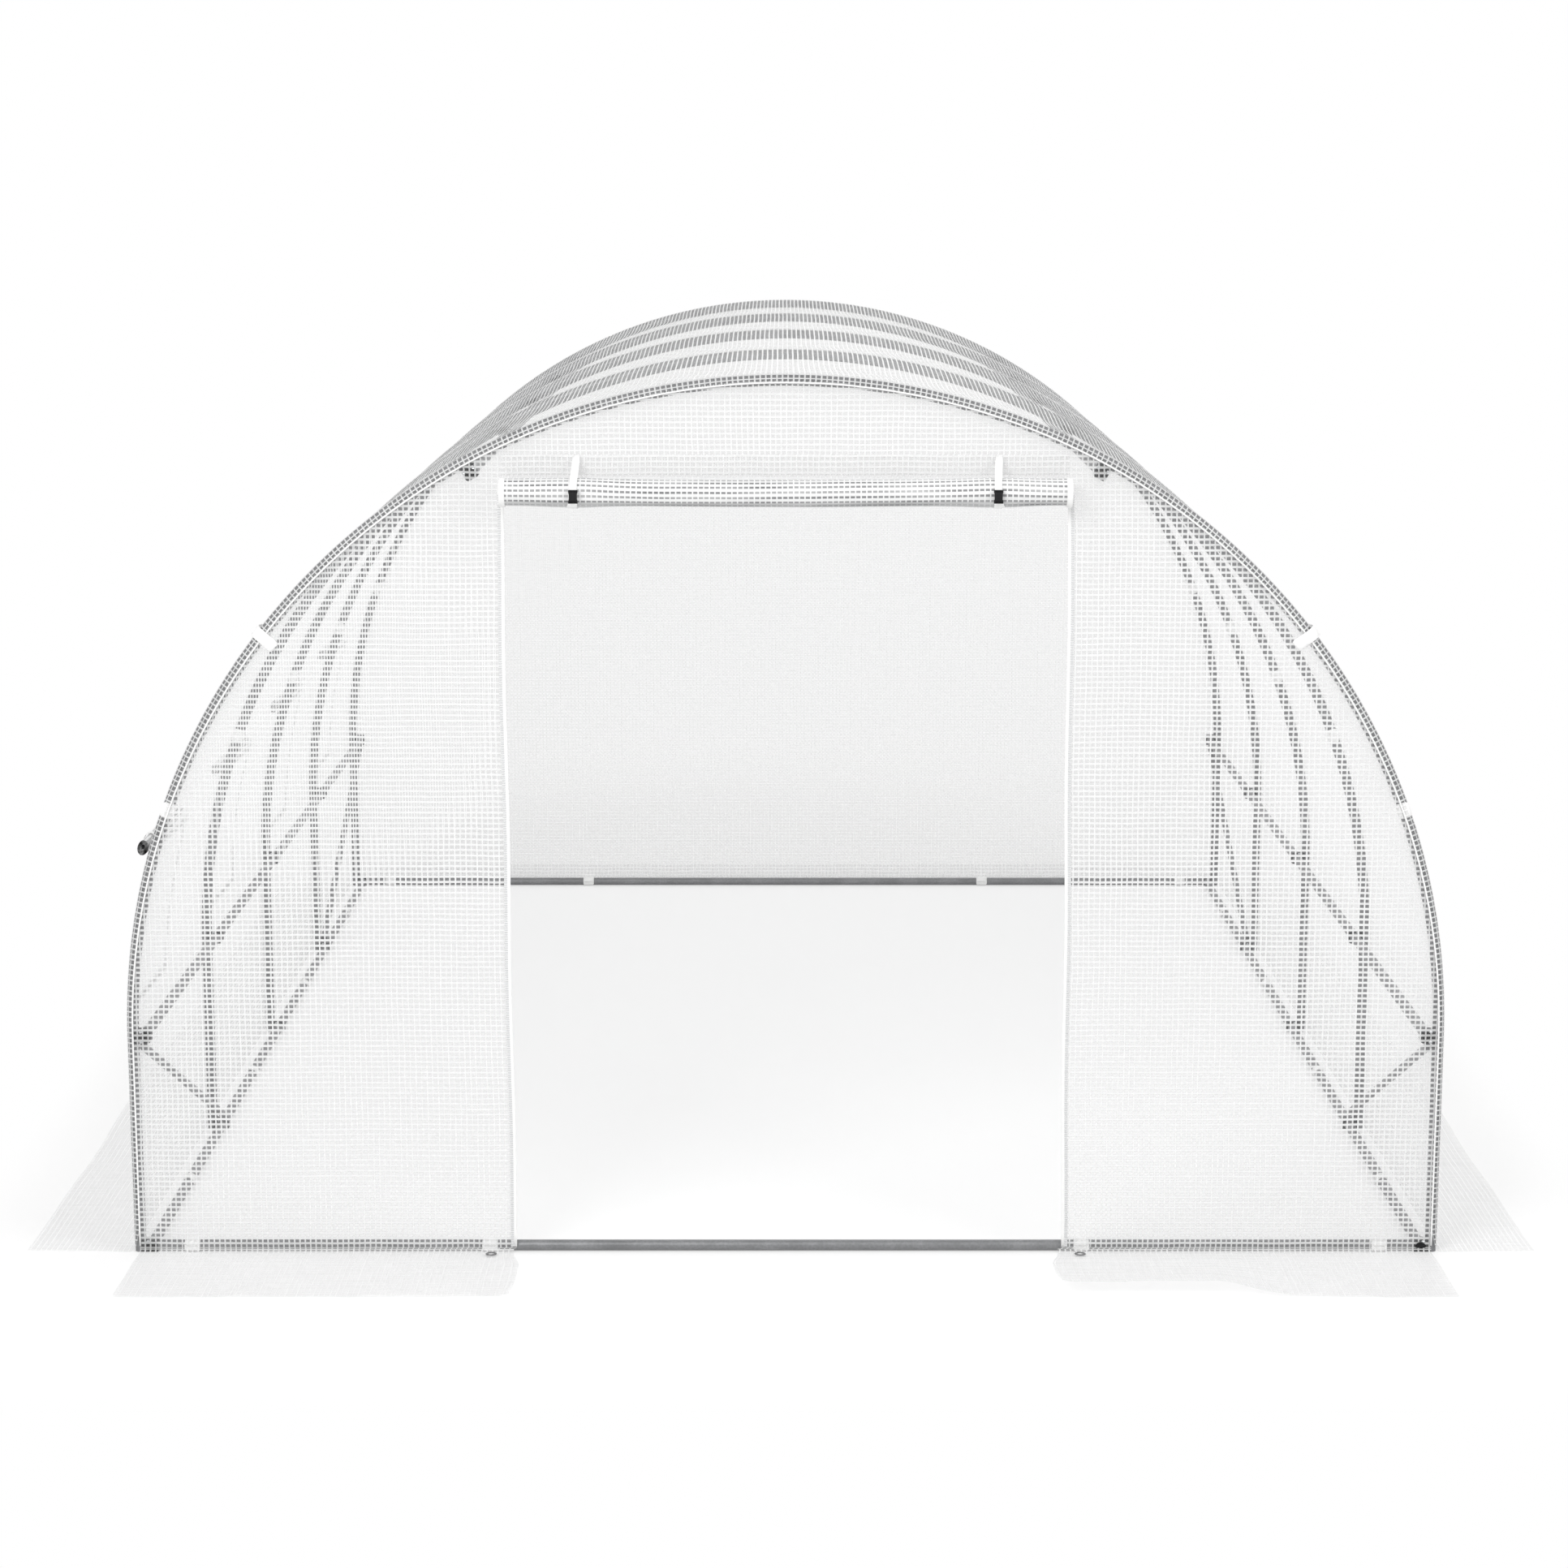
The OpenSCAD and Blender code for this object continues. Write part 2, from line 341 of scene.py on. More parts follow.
def thread_grid(tree, cloth, main_axis, shares, weakest, stray=0.006, pairs=False):
    """The mask of the woven threads on the piece's own cloth coordinates, and those coordinates.

    shares scale the widths of the main and cross threads, and weakest is how faint they may be.
    """
    flat = put(tree, "UVMap", uv_map="cloth").outputs[0]
    drift = put(tree, "TexNoise", {"Vector": flat, "Scale": 7.0, "Detail": 2.0})
    parts = put(tree, "SeparateXYZ", {0: flat})
    strays = put(tree, "SeparateXYZ", {0: drift.outputs["Color"]})
    lines = []
    for axis, phase in ((0, 0.5), (1, 0.0)):
        place = calc(tree, "MULTIPLY_ADD", strays.outputs[axis], stray, parts.outputs[axis])
        cross = axis != main_axis
        width = shares[cross] * (cloth.cross_thread if cross else cloth.thread)
        apart = None
        if cross and pairs:
            # The cross threads are pairs of fine yarns, which have come apart in one place on the left
            spot = put(tree, "VectorMath", {0: flat, 1: (-1.02, 1.27, 0)}, operation="DISTANCE")
            away = calc(
                tree, "MULTIPLY_ADD", drift.outputs["Fac"], 0.24, spot.outputs["Value"]
            )
            apart = blend_value(tree, 0.4, 0.56, away, 0.003, 0.0006)
        line = thread_lines(tree, place, cloth.pitch, width, phase, apart)
        # Some threads lie deeper in the film and look weaker
        along = (70.0, 3.5, 1.0) if axis == 0 else (3.5, 70.0, 1.0)
        depth = noise(tree, drawn_out(tree, flat, along), 1.0, 1.0)
        strength = blend_value(tree, 0.34, 0.58, depth, weakest[cross], 1.0)
        lines.append(calc(tree, "MULTIPLY", line, strength))
    return calc(tree, "MAXIMUM", *lines), flat


def film_material(name, cloth, colour, haze, clear, *weave, **more):
    """Clear film with a white thread grid laid in it. weave and more say how the threads lie."""
    made, tree = new_material(name)
    mask, flat = thread_grid(tree, cloth, *weave, **more)
    clouds = noise(tree, flat, 3.1, 2.0)
    cell = blend_value(tree, 0.3, 0.7, clouds, haze * 0.75, haze * 1.25)
    solid = calc(tree, "MULTIPLY_ADD", mask, calc(tree, "SUBTRACT", 0.96, cell), cell)
    bump = bumps(tree, mask, 0.35, 0.0004)
    rough = blend_value(tree, 0.0, 1.0, mask, 0.16, 0.42)
    front = surface(tree, (*colour, 1), rough, bump, {"Specular IOR Level": 0.35})
    glow = put(tree, "BsdfTranslucent", {"Color": (*colour, 1), "Normal": bump}).outputs[0]
    through = put(tree, "BsdfTransparent", {"Color": (clear, clear, clear, 1)}).outputs[0]
    output(tree, mixed(tree, solid, through, mixed(tree, 0.45, front, glow)))
    return made


def gable_film_material(name, cloth, film, clear):
    """The film of a gable: greyer and hazier than the cover, with cross threads in pairs."""
    colour = tuple(0.935 * c for c in film)
    clear = min(1.0, cloth.clear * clear)
    threads = (1, (1.1, 0.66), (0.85, 0.78))
    return film_material(name, cloth, colour, cloth.haze * 1.4, clear, *threads, pairs=True)


def rolled_film_material(name, cloth, colour, layers_and_shade, blur_and_shade):
    """Many layers of the film: pale threads, and grey cells between them that are partly the layers and
    partly painted shade inside the roll.
    """
    made, tree = new_material(name)
    mask, flat = thread_grid(tree, cloth, 1, (1.48, 0.86), (0.85, 0.8), 0.002)
    # Under the roll the threads fade into the grey between them: partly the loose layers blurring them,
    # and partly painted shade on the roll's underside.
    along = put(tree, "SeparateXYZ", {0: flat}).outputs[1]
    mask = calc(tree, "MULTIPLY", mask, blend_value(tree, 0.014, 0.025, along, 1.0, blur_and_shade))
    clouds = noise(tree, drawn_out(tree, flat, (5.0, 55.0, 1.0)), 1.0, 3.0)
    # Cells between the threads: grey partly from the layers and partly painted shade inside the roll,
    # in random clouds.
    pale = [0.62 * a + 0.38 * b for a, b in zip(layers_and_shade, colour)]
    layers = ramp(tree, clouds, (0.36, layers_and_shade), (0.68, pale))
    # The threads on a roll are a tenth darker than on the flat film: painted shade.
    threads = (*[0.9 * c for c in colour], 1)
    shade = put(tree, "MixRGB", {"Fac": mask, "Color1": layers, "Color2": threads}).outputs[0]
    bump = bumps(tree, mask, 0.5, 0.0006)
    output(tree, surface(tree, shade, 0.32, bump, {"Specular IOR Level": 0.4}))
    return made


def tube_material(colour):
    """Galvanised steel: a soft spangle over cloudy patches."""
    made, tree = new_material("galvanised_tube")
    place = put(tree, "TexCoord").outputs["Object"]
    spangle = put(tree, "TexVoronoi", {"Vector": place, "Scale": 160.0}).outputs["Distance"]
    cloud = noise(tree, place, 14.0, 5.0)
    spotted = calc(tree, "MULTIPLY_ADD", spangle, 0.35, cloud)
    dark = [0.86 * c for c in colour]
    pale = [min(1.0, 1.22 * c) for c in colour]
    shade = ramp(tree, spotted, (0.3, dark), (0.62, colour), (0.9, pale))
    rough = blend_value(tree, 0.3, 0.9, spotted, 0.28, 0.46)
    output(tree, surface(tree, shade, rough, bumps(tree, cloud, 0.08, 0.001), {"Metallic": 0.5}))
    return made


def solid_material(name, colour, metal, rough, grain, spread=0.25, bump_m=0.0002, shine=0.5):
    """A cast, painted or moulded finish: a fine grain in its colour, gloss and surface."""
    made, tree = new_material(name)
    grains = noise(tree, put(tree, "TexCoord").outputs["Object"], grain, 6.0)
    dark = [c * (1 - spread) for c in colour]
    pale = [min(1.0, c * (1 + spread)) for c in colour]
    shade = ramp(tree, grains, (0.3, dark), (0.7, pale))
    rough = blend_value(tree, 0.3, 0.7, grains, rough - 0.07, rough + 0.09)
    more = {"Metallic": metal, "Specular IOR Level": shine}
    output(tree, surface(tree, shade, rough, bumps(tree, grains, 0.4, bump_m), more))
    return made


def webbing_material(colour):
    """Woven webbing: ribs along the strap and a fine cross weave, with a soft sheen."""
    made, tree = new_material("webbing")
    flat = put(tree, "UVMap", uv_map="cloth").outputs[0]
    parts = put(tree, "SeparateXYZ", {0: flat})
    rib = thread_lines(tree, parts.outputs[0], 0.0016, 0.0008, 0.0)
    weft = thread_lines(tree, parts.outputs[1], 0.0011, 0.0006, 0.5)
    weave = calc(tree, "MAXIMUM", rib, calc(tree, "MULTIPLY", weft, 0.6))
    # The gaps between the ribs are a tenth darker: painted shade in the weave.
    shade = ramp(tree, weave, (0.0, [0.9 * c for c in colour]), (1.0, colour))
    bump = bumps(tree, weave, 0.4, 0.0003)
    output(tree, surface(tree, shade, 0.75, bump, {"Sheen Weight": 0.15}))
    return made


def net_material(colour):
    """A fine white insect net."""
    made, tree = new_material("insect_net")
    flat = put(tree, "UVMap", uv_map="cloth").outputs[0]
    parts = put(tree, "SeparateXYZ", {0: flat})
    wires = [thread_lines(tree, parts.outputs[axis], 0.0022, 0.0006, 0.0) for axis in (0, 1)]
    solid = calc(tree, "MULTIPLY_ADD", calc(tree, "MAXIMUM", *wires), 0.9, 0.06)
    inputs = {"Base Color": (*colour, 1), "Roughness": 0.55}
    body = put(tree, "BsdfPrincipled", inputs).outputs[0]
    output(tree, mixed(tree, solid, put(tree, "BsdfTransparent").outputs[0], body))
    return made


_materials = {}


def material(name):
    """One finish by name, made when it is first asked for."""
    cloth = bpy.context.scene.tunnel_cloth
    colours = bpy.context.scene.tunnel_colours
    film = tuple(colours.film)
    # The door's roll takes a darker copy of the rolled film's grey than the vents: painted shade.
    door_layers_and_shade, layers_and_shade = [tuple(share * c for c in colours.layers_and_shade) for share in (0.66, 0.9)]
    finishes = {
        "cover_film": lambda: film_material(
            "cover_film", cloth, film, cloth.haze, cloth.clear, 0, (0.78, 0.8), (0.8, 0.8), 0.0018
        ),
        # The back gable lets less light through than the front one: painted shade that darkens what is
        # seen through it.
        "gable_film": lambda: gable_film_material("gable_film", cloth, film, 1.035),
        "back_film": lambda: gable_film_material("back_film", cloth, film, 0.985),
        "rolled_film": lambda: rolled_film_material("rolled_film", cloth, film, door_layers_and_shade, 0.4),
        "vent_film": lambda: rolled_film_material("vent_film", cloth, film, layers_and_shade, 1.0),
        "tube": lambda: tube_material(tuple(colours.tube)),
        "clamp": lambda: solid_material("clamp_paint", tuple(colours.clamp), 0.35, 0.42, 240.0),
        "zinc": lambda: solid_material("bright_zinc", (0.55, 0.56, 0.57), 1.0, 0.28, 420.0, 0.12),
        "plastic": lambda: solid_material(
            "black_plastic", tuple(colours.plastic), 0.0, 0.45, 900.0, 0.3, 0.0001, 0.18
        ),
        "coil": lambda: solid_material("zip_coil", (0.66, 0.665, 0.67), 0.0, 0.4, 500.0, 0.08),
        "eyelet": lambda: solid_material(
            "nickel_eyelet", (0.19, 0.19, 0.195), 1.0, 0.3, 300.0, 0.15
        ),
        "webbing": lambda: webbing_material(tuple(colours.webbing)),
        "net": lambda: net_material(film),
    }
    if name not in _materials:
        _materials[name] = finishes[name]()
    return _materials[name]


def dress(obj, name):
    """Gives the whole piece one finish."""
    obj.data.materials.clear()
    obj.data.materials.append(material(name))
    return obj


def seat(obj, finish, slot, *nodes):
    """The piece rides on the frame, takes its finish and stands for these CAD nodes."""
    dress(obj, finish)
    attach(obj, "root")
    if nodes:
        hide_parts(*nodes)
    return obj


# ---- Sheets and straps ----


def new_piece(name, points, faces, flat):
    """A mesh piece from its points, faces and cloth coordinates, one (u, v) a point."""
    mesh = bpy.data.meshes.new(name)
    mesh.from_pydata([tuple(p) for p in points], [], [tuple(f) for f in faces])
    corners = np.zeros(len(mesh.loops), np.int32)
    mesh.loops.foreach_get("vertex_index", corners)
    layer = mesh.uv_layers.new(name="cloth")
    layer.data.foreach_set("uv", np.asarray(flat, np.float32)[corners].ravel())
    mesh.validate()
    obj = bpy.data.objects.new(name, mesh)
    bpy.context.scene.collection.objects.link(obj)
    for polygon in mesh.polygons:
        polygon.use_smooth = True
    return obj


def grid_piece(name, places, flat, kept=None, flip=False):
    """A sheet from a grid of places (rows, columns, 3), without the cells that aren't kept."""
    rows, columns = places.shape[:2]
    index = np.arange(rows * columns).reshape(rows, columns)
    quads = np.stack(
        [index[:-1, :-1], index[:-1, 1:], index[1:, 1:], index[1:, :-1]], axis=-1
    )
    if kept is not None:
        quads = quads[kept]
    quads = quads.reshape(-1, 4)
    if flip:
        quads = quads[:, ::-1]
    used, quads = np.unique(quads, return_inverse=True)
    return new_piece(
        name,
        places.reshape(-1, 3)[used],
        quads.reshape(-1, 4),
        flat.reshape(-1, 2)[used],
    )


def strap(name, path, across, width, thick, round_ends=True):
    """A flat woven strap along a path of points, with its width along `across`."""
    path = [Vector(p) for p in path]
    across = Vector(across).normalized()
    half, deep, edge = width / 2, thick / 2, thick * 0.45
    section = [
        (-half, 0.0),
        (-half + edge, deep),
        (half - edge, deep),
        (half, 0.0),
        (half - edge, -deep),
        (-half + edge, -deep),
    ]
    points, flat, travelled = [], [], 0.0
    for i, p in enumerate(path):
        before, after = path[max(i - 1, 0)], path[min(i + 1, len(path) - 1)]
        if i:
            travelled += (p - path[i - 1]).length
        up = (after - before).normalized().cross(across).normalized()
        squeeze = 0.8 if round_ends and i in (0, len(path) - 1) else 1.0
        for a, b in section:
            points.append(p + across * a * squeeze + up * b)
            flat.append((a, travelled))
    n = len(section)
    faces = [
        (i * n + k, i * n + (k + 1) % n, (i + 1) * n + (k + 1) % n, (i + 1) * n + k)
        for i in range(len(path) - 1)
        for k in range(n)
    ]
    faces += [tuple(range(n))[::-1], tuple((len(path) - 1) * n + k for k in range(n))]
    obj = new_piece(name, points, faces, flat)
    turn_out(obj)
    return obj


def turn_out(obj):
    """Makes a closed piece's faces point outwards."""
    shape = bmesh.new()
    shape.from_mesh(obj.data)
    bmesh.ops.recalc_face_normals(shape, faces=shape.faces)
    shape.to_mesh(obj.data)
    shape.free()


def copies(source, places, name):
    """One piece that holds a copy of the source at each place, and no source."""
    bpy.ops.object.select_all(action="DESELECT")
    made = []
    for place in places:
        mesh = source.data.copy()
        mesh.transform(place)
        obj = bpy.data.objects.new(name, mesh)
        bpy.context.scene.collection.objects.link(obj)
        obj.select_set(True)
        made.append(obj)
    bpy.data.objects.remove(source)
    return joined(made, name)


def joined(objs, name):
    """Several pieces made one."""
    bpy.ops.object.select_all(action="DESELECT")
    for obj in objs:
        obj.select_set(True)
    bpy.context.view_layer.objects.active = objs[0]
    if len(objs) > 1:
        bpy.ops.object.join()
    objs[0].name = objs[0].data.name = name
    return objs[0]


def ripple(*terms):
    """A sum of sine waves over arrays: terms are (share, angle array) pairs."""
    return sum(share * np.sin(angle) for share, angle in terms)


def fade(value, start, end):
    """0 before start and 1 after end, smoothly."""
    t = np.clip((value - start) / (end - start), 0, 1)
    return t * t * (3 - 2 * t)


# ---- The cover ----

# The cover runs from its crown down an arch and a wall, bends out at the foot and lies on the ground
COVER_R = WALL_X - 0.001
CREASE = 0.010
FLOOR_Z = 0.0012
ARC = COVER_R * math.pi / 2
WALL = LEG_H - CREASE - FLOOR_Z
BEND = CREASE * math.pi / 2
FLAP = FLAP_X - COVER_R - CREASE
FOOT = ARC + WALL
ON_GROUND = FOOT + BEND
HALF = ON_GROUND + FLAP
LEFT_HALF = HALF + 0.022
# It wraps round the end hoops to a seam on the gable
END_Y = -HOOP_YS[0]
WRAP_R = TUBE_R + 0.0013
SEAM_R = HOOP_R - 0.0045
GABLE_EDGE = HOOP_R - 0.0008
GABLE_IN = 0.0016
# Heights of a vent's lower and upper edge, its distance from the hoop before it, and its length
VENT = {"low": 0.565, "high": 0.925, "start": 0.035, "length": 0.42}
NET_SEAM = 0.012


def seam_half():
    """Half the gable seam's width, rounded to a micrometre since a property holds few digits."""
    return round(bpy.context.scene.tunnel_cloth.seam / 2, 6)


def seam_radius(z):
    """How far out the gable seam lies at this height. On the legs it sits a little further out."""
    return SEAM_R + 0.003 * float(1 - fade(z, 0.4, 1.3))


def vent_arcs():
    """The lower and upper edge of the vents, as distances from the crown."""
    return [
        ARC - math.asin((z - LEG_H) / COVER_R) * COVER_R
        for z in (VENT["low"], VENT["high"])
    ]


def cover_section(s):
    """Places (x, z) and outward directions of the cover's section, s metres from the crown."""
    side, a = np.sign(s) + (s == 0), np.abs(s)
    x, z = np.zeros_like(a), np.zeros_like(a)
    nx, nz = np.zeros_like(a), np.zeros_like(a)
    on = a <= ARC
    turn = a[on] / COVER_R
    x[on], z[on] = COVER_R * np.sin(turn), LEG_H + COVER_R * np.cos(turn)
    nx[on], nz[on] = np.sin(turn), np.cos(turn)
    on = (a > ARC) & (a <= FOOT)
    x[on], z[on], nx[on] = COVER_R, LEG_H - (a[on] - ARC), 1.0
    on = (a > FOOT) & (a <= ON_GROUND)
    turn = (a[on] - FOOT) / CREASE
    x[on] = COVER_R + CREASE * (1 - np.cos(turn))
    z[on] = FLOOR_Z + CREASE * (1 - np.sin(turn))
    nx[on], nz[on] = np.cos(turn), np.sin(turn)
    on = a > ON_GROUND
    x[on], z[on] = COVER_R + CREASE + (a[on] - ON_GROUND), FLOOR_Z
    nz[on] = 1.0
    return side * x, z, side * nx, nz


def steps(*stops):
    """Evenly spaced values through (value, spacing to the next) stops, the last with no spacing."""
    out = []
    for (start, spacing), (end, _) in zip(stops, stops[1:]):
        n = max(1, round(abs(end - start) / spacing))
        out += [start + (end - start) * k / n for k in range(n)]
    return np.array(out + [stops[-1][0]])


def cover_columns():
    """Distances from the crown at which the cover's mesh has lines, from left to right."""
    low, high = vent_arcs()
    left, right = [
        steps(
            (0.0, 0.03),
            (high, 0.03),
            (low, 0.03),
            (ARC, 0.05),
            (FOOT, 0.006),
            (ON_GROUND, 0.023),
            (end, 0),
        )
        for end in (LEFT_HALF, HALF)
    ]
    return np.concatenate([-left[:0:-1], right])


def cover_rows():
    """Places along the tunnel of the cover's mesh lines, finer at the start of each bay."""
    stops = []
    for y in HOOP_YS[:-1]:
        stops += [
            (y, 0.018),
            (y + VENT["start"], 0.03),
            (y + VENT["start"] + VENT["length"], 0.034),
        ]
    return steps(*stops, (HOOP_YS[-1], 0))


def cover_place(s, y):
    """Places of the cover between the end hoops, with its sag and waves."""
    x, z, nx, nz = cover_section(s)
    cloth = bpy.context.scene.tunnel_cloth
    t = (y - HOOP_YS[0]) / BAY
    bay = np.floor(np.clip(t, 0, 3.999))
    hollow = np.sin(np.pi * np.clip(t, 0, 4)) ** 2
    a = np.abs(s)
    on_air = 1 - fade(a, ARC + WALL * 0.35, FOOT)
    high_up = 1 - fade(a, 0.9, ARC)
    sag = hollow * on_air * cloth.roof_sag * (0.5 + 0.5 * high_up)
    sag = sag * (1 + 0.25 * np.sin(s * 2.3 + bay * 1.7))
    sag = sag + hollow * on_air * 0.0018 * np.sin(s * 11.0 + 9.0 * y + bay)
    on_floor = fade(a, ON_GROUND, ON_GROUND + 0.08)
    outer = fade(a, ON_GROUND, HALF)
    waves = ripple(
        (0.55, 5.2 * y + np.sign(s) * 0.8),
        (0.3, 13.7 * y + 3.0 * s),
        (0.15, 31.0 * y + 1.3),
    )
    lift = cloth.wave * 0.6 * on_floor * (0.45 + 0.55 * outer) * (1 + waves)
    stray = 0.006 * outer * ripple((0.6, 3.1 * y + s), (0.4, 8.3 * y + 2.0))
    side = np.sign(s) + (s == 0)
    px = x - nx * sag + side * (stray - 0.006 * outer)
    pz = z - nz * sag * (1 - on_floor) + lift
    return np.stack([px, y + 0 * x, pz], axis=-1)


def wrap_rows(end):
    """The rows that turn round an end hoop to the gable seam, outwards from the hoop.

    Each is (radius lost, place along Y, flat length).
    """
    deep = -FRONT - END_Y - GAP
    to_seam = HOOP_R - SEAM_R + seam_half()
    rows = []
    for turn in np.linspace(0, math.pi / 2, 9)[1:]:
        rows.append((WRAP_R * (1 - math.cos(turn)), deep * math.sin(turn)))
    rows += [(WRAP_R + share * to_seam, deep) for share in (1 / 3, 2 / 3, 1)]
    result, flat, before = [], 0.0, (0.0, 0.0)
    for row in rows:
        flat += math.dist(row, before)
        before = row
        result.append((row[0], end * (END_Y + row[1]), flat))
    return result


def wrapped_end(s, end):
    """The cover's rows round an end hoop, outwards from it: their places and flat lengths."""
    base = cover_place(s, np.full_like(s, end * END_Y))
    _, _, nx, nz = cover_section(s)
    upright = 1 - fade(np.abs(s), FOOT - 0.03, ON_GROUND)
    # The cover ends at the seam, which lies further out on the legs
    further = np.array([seam_radius(z) - SEAM_R for z in base[:, 2]])
    wraps = wrap_rows(end)
    all_lost, _, all_flat = wraps[-1]
    places, flats = [], []
    for lost, y, flat in wraps:
        past = np.clip((lost - WRAP_R) / (all_lost - WRAP_R), 0, 1)
        inwards = (lost - past * further) * upright
        straight = end * (END_Y + flat / all_flat * (-FRONT - END_Y))
        row = base.copy()
        row[:, 0] -= nx * inwards
        row[:, 1] = y * upright + straight * (1 - upright)
        row[:, 2] -= nz * inwards
        places.append(row)
        flats.append(np.full_like(s, end * (END_Y + flat)))
    return places, flats


def build_cover():
    """The main cover: one sheet over the hoops, down both walls and out over the ground."""
    s = cover_columns()
    ss, yy = np.meshgrid(s, cover_rows())
    front, front_flat = wrapped_end(s, -1)
    back, back_flat = wrapped_end(s, 1)
    places = np.stack(front[::-1] + list(cover_place(ss, yy)) + back)
    lengths = np.stack(front_flat[::-1] + list(yy) + back_flat)
    # The first whole thread lies 12.4 mm in from the edge, and 3.5 mm further out on the legs
    wrap = wrap_rows(1)[-1][2]
    v = lengths + END_Y + wrap - 0.0124 - 0.0035 * fade(np.abs(s), 1.1, 2.2)
    flat = np.stack([np.broadcast_to(s, v.shape), v], axis=-1)
    kept = np.ones((len(places) - 1, len(s) - 1), bool)
    low, high = vent_arcs()
    between = (s[1:] + s[:-1]) / 2
    across = (between < -high) & (between > -low)
    row_y = (places[1:, 0, 1] + places[:-1, 0, 1]) / 2
    for y in HOOP_YS[:-1]:
        start = y + VENT["start"]
        along = (row_y > start) & (row_y < start + VENT["length"])
        kept[np.ix_(along, across)] = False
    return grid_piece("cover", places, flat, kept), wrap


def vent_nets():
    """The insect nets in the vents on the left wall."""
    low, high = vent_arcs()
    nets = []
    for i, y in enumerate(HOOP_YS[:-1]):
        s = np.linspace(-low - NET_SEAM, -high + NET_SEAM, 15)
        start = y + VENT["start"] - NET_SEAM
        ys = np.linspace(start, start + VENT["length"] + 2 * NET_SEAM, 18)
        ss, yy = np.meshgrid(s, ys)
        places = cover_place(ss, yy)
        _, _, nx, nz = cover_section(ss)
        places[..., 0] -= nx * 0.0015
        places[..., 2] -= nz * 0.0015
        nets.append(
            grid_piece(f"vent_net_{i + 1}", places, np.stack([ss, yy], axis=-1))
        )
    return nets


def tape_on_cover(s, y, along_y, lift=0.0012):
    """A sewn tape that lies on the cover along the places (s, y)."""
    centre = cover_place(s, y)
    _, _, nx, nz = cover_section(s)
    normal = np.stack([nx, 0 * nx, nz], axis=-1)
    centre = centre + normal * lift
    half, thick = 0.008, 0.0008
    if along_y:
        a = cover_place(s - half, y) + normal * lift
        b = cover_place(s + half, y) + normal * lift
    else:
        a = centre - np.array([0, half, 0])
        b = centre + np.array([0, half, 0])
    top, bottom = normal * thick / 2, -normal * thick / 2
    rows = np.stack([a + bottom, a + top, centre + top * 1.6, b + top, b + bottom])
    travelled = np.concatenate(
        [[0], np.cumsum(np.linalg.norm(np.diff(centre, axis=0), axis=1))]
    )
    u = np.array([-half, -half, 0, half, half])
    flat = np.stack(
        [np.broadcast_to(u[:, None], rows.shape[:2]), np.broadcast_to(travelled, rows.shape[:2])],
        axis=-1,
    )
    n = rows.shape[1]
    index = np.arange(5 * n).reshape(5, n)
    faces = []
    for r in range(5):
        q = (r + 1) % 5
        faces += [
            (index[r, k], index[r, k + 1], index[q, k + 1], index[q, k])
            for k in range(n - 1)
        ]
    faces += [tuple(index[::-1, 0]), tuple(index[:, n - 1])]
    obj = new_piece("tape", rows.reshape(-1, 3), faces, flat.reshape(-1, 2))
    turn_out(obj)
    return obj


def vent_bindings():
    """White tapes sewn round the four vents."""
    low, high = vent_arcs()
    tapes = []
    for y in HOOP_YS[:-1]:
        start, end = y + VENT["start"], y + VENT["start"] + VENT["length"]
        ys = np.linspace(start - 0.008, end + 0.008, 24)
        for s in (-low, -high):
            tapes.append(tape_on_cover(np.full_like(ys, s), ys, True))
        ss = np.linspace(-low, -high, 14)
        for edge in (start, end):
            tapes.append(tape_on_cover(ss, np.full_like(ss, edge), False, 0.0016))
    return joined(tapes, "vent_bindings")


# ---- Gables ----


def gable_columns():
    """Places across a gable at which its mesh has lines, closer together beside the doorway."""
    turns = list(np.radians(np.arange(0, 90.01, 1.0)))
    turns += [math.asin((DOOR_X + d) / GABLE_EDGE) for d in (0.0, 0.008, 0.018, 0.03)]
    half = GABLE_EDGE * np.sin(sorted(turns))
    return np.concatenate([-half[:0:-1], half])


def flap_row(x, out, wall_y, end, door):
    """One line across a gable's flap, at this share of the way from the crease to its outer edge.

    Like panel_row, it gives the line's x, y and z and its length on the cloth.
    """
    wide = x * GABLE_FLAP_OUT / GABLE_EDGE
    fx = x + (wide - x) * fade(out, 0.0, 0.25)
    away = GABLE_FLAP_L - CREASE
    waves = ripple(
        (0.35, 7.1 * x + 1.9 + end),
        (0.25, 19.0 * x + 5.0 * out),
        (0.25, 41.0 * x - 7.0 * out + 0.7),
        (0.15, 63.0 * x + 9.0 * out),
    )
    wave = bpy.context.scene.tunnel_cloth.wave
    lift = wave * 0.7 * (0.4 + 0.6 * out) * (1 + waves) * out**0.5
    short = 0.004 * out * ripple((0.6, 4.3 * x + 0.6), (0.4, 11.0 * x + end))
    if door:
        # The doorway's corners are rounded
        near = 1 - fade(np.abs(x), DOOR_X, DOOR_X + 0.05)
        pulled = 0.007 * fade(out, 0.62, 1.0) - (DOOR_X - GABLE_FLAP_IN) * fade(out, 0.0, 0.3)
        fx = fx + np.sign(x) * near * pulled
        corner = 1 - fade(np.abs(x), DOOR_X, DOOR_X + 0.022)
        short = short - 0.012 * corner * fade(out, 0.7, 1.0)
        # The right one curls up off the ground
        curl = (x > 0) * (1 - fade(x, DOOR_X + 0.32, DOOR_X + 0.5))
        lift = lift + out**1.6 * 0.03 * curl
        short = short - 0.01 * curl * out
    y = wall_y + end * (CREASE + away * out + short + 0.004 * out)
    return fx, y, FLOOR_Z + lift, -away * out - BEND


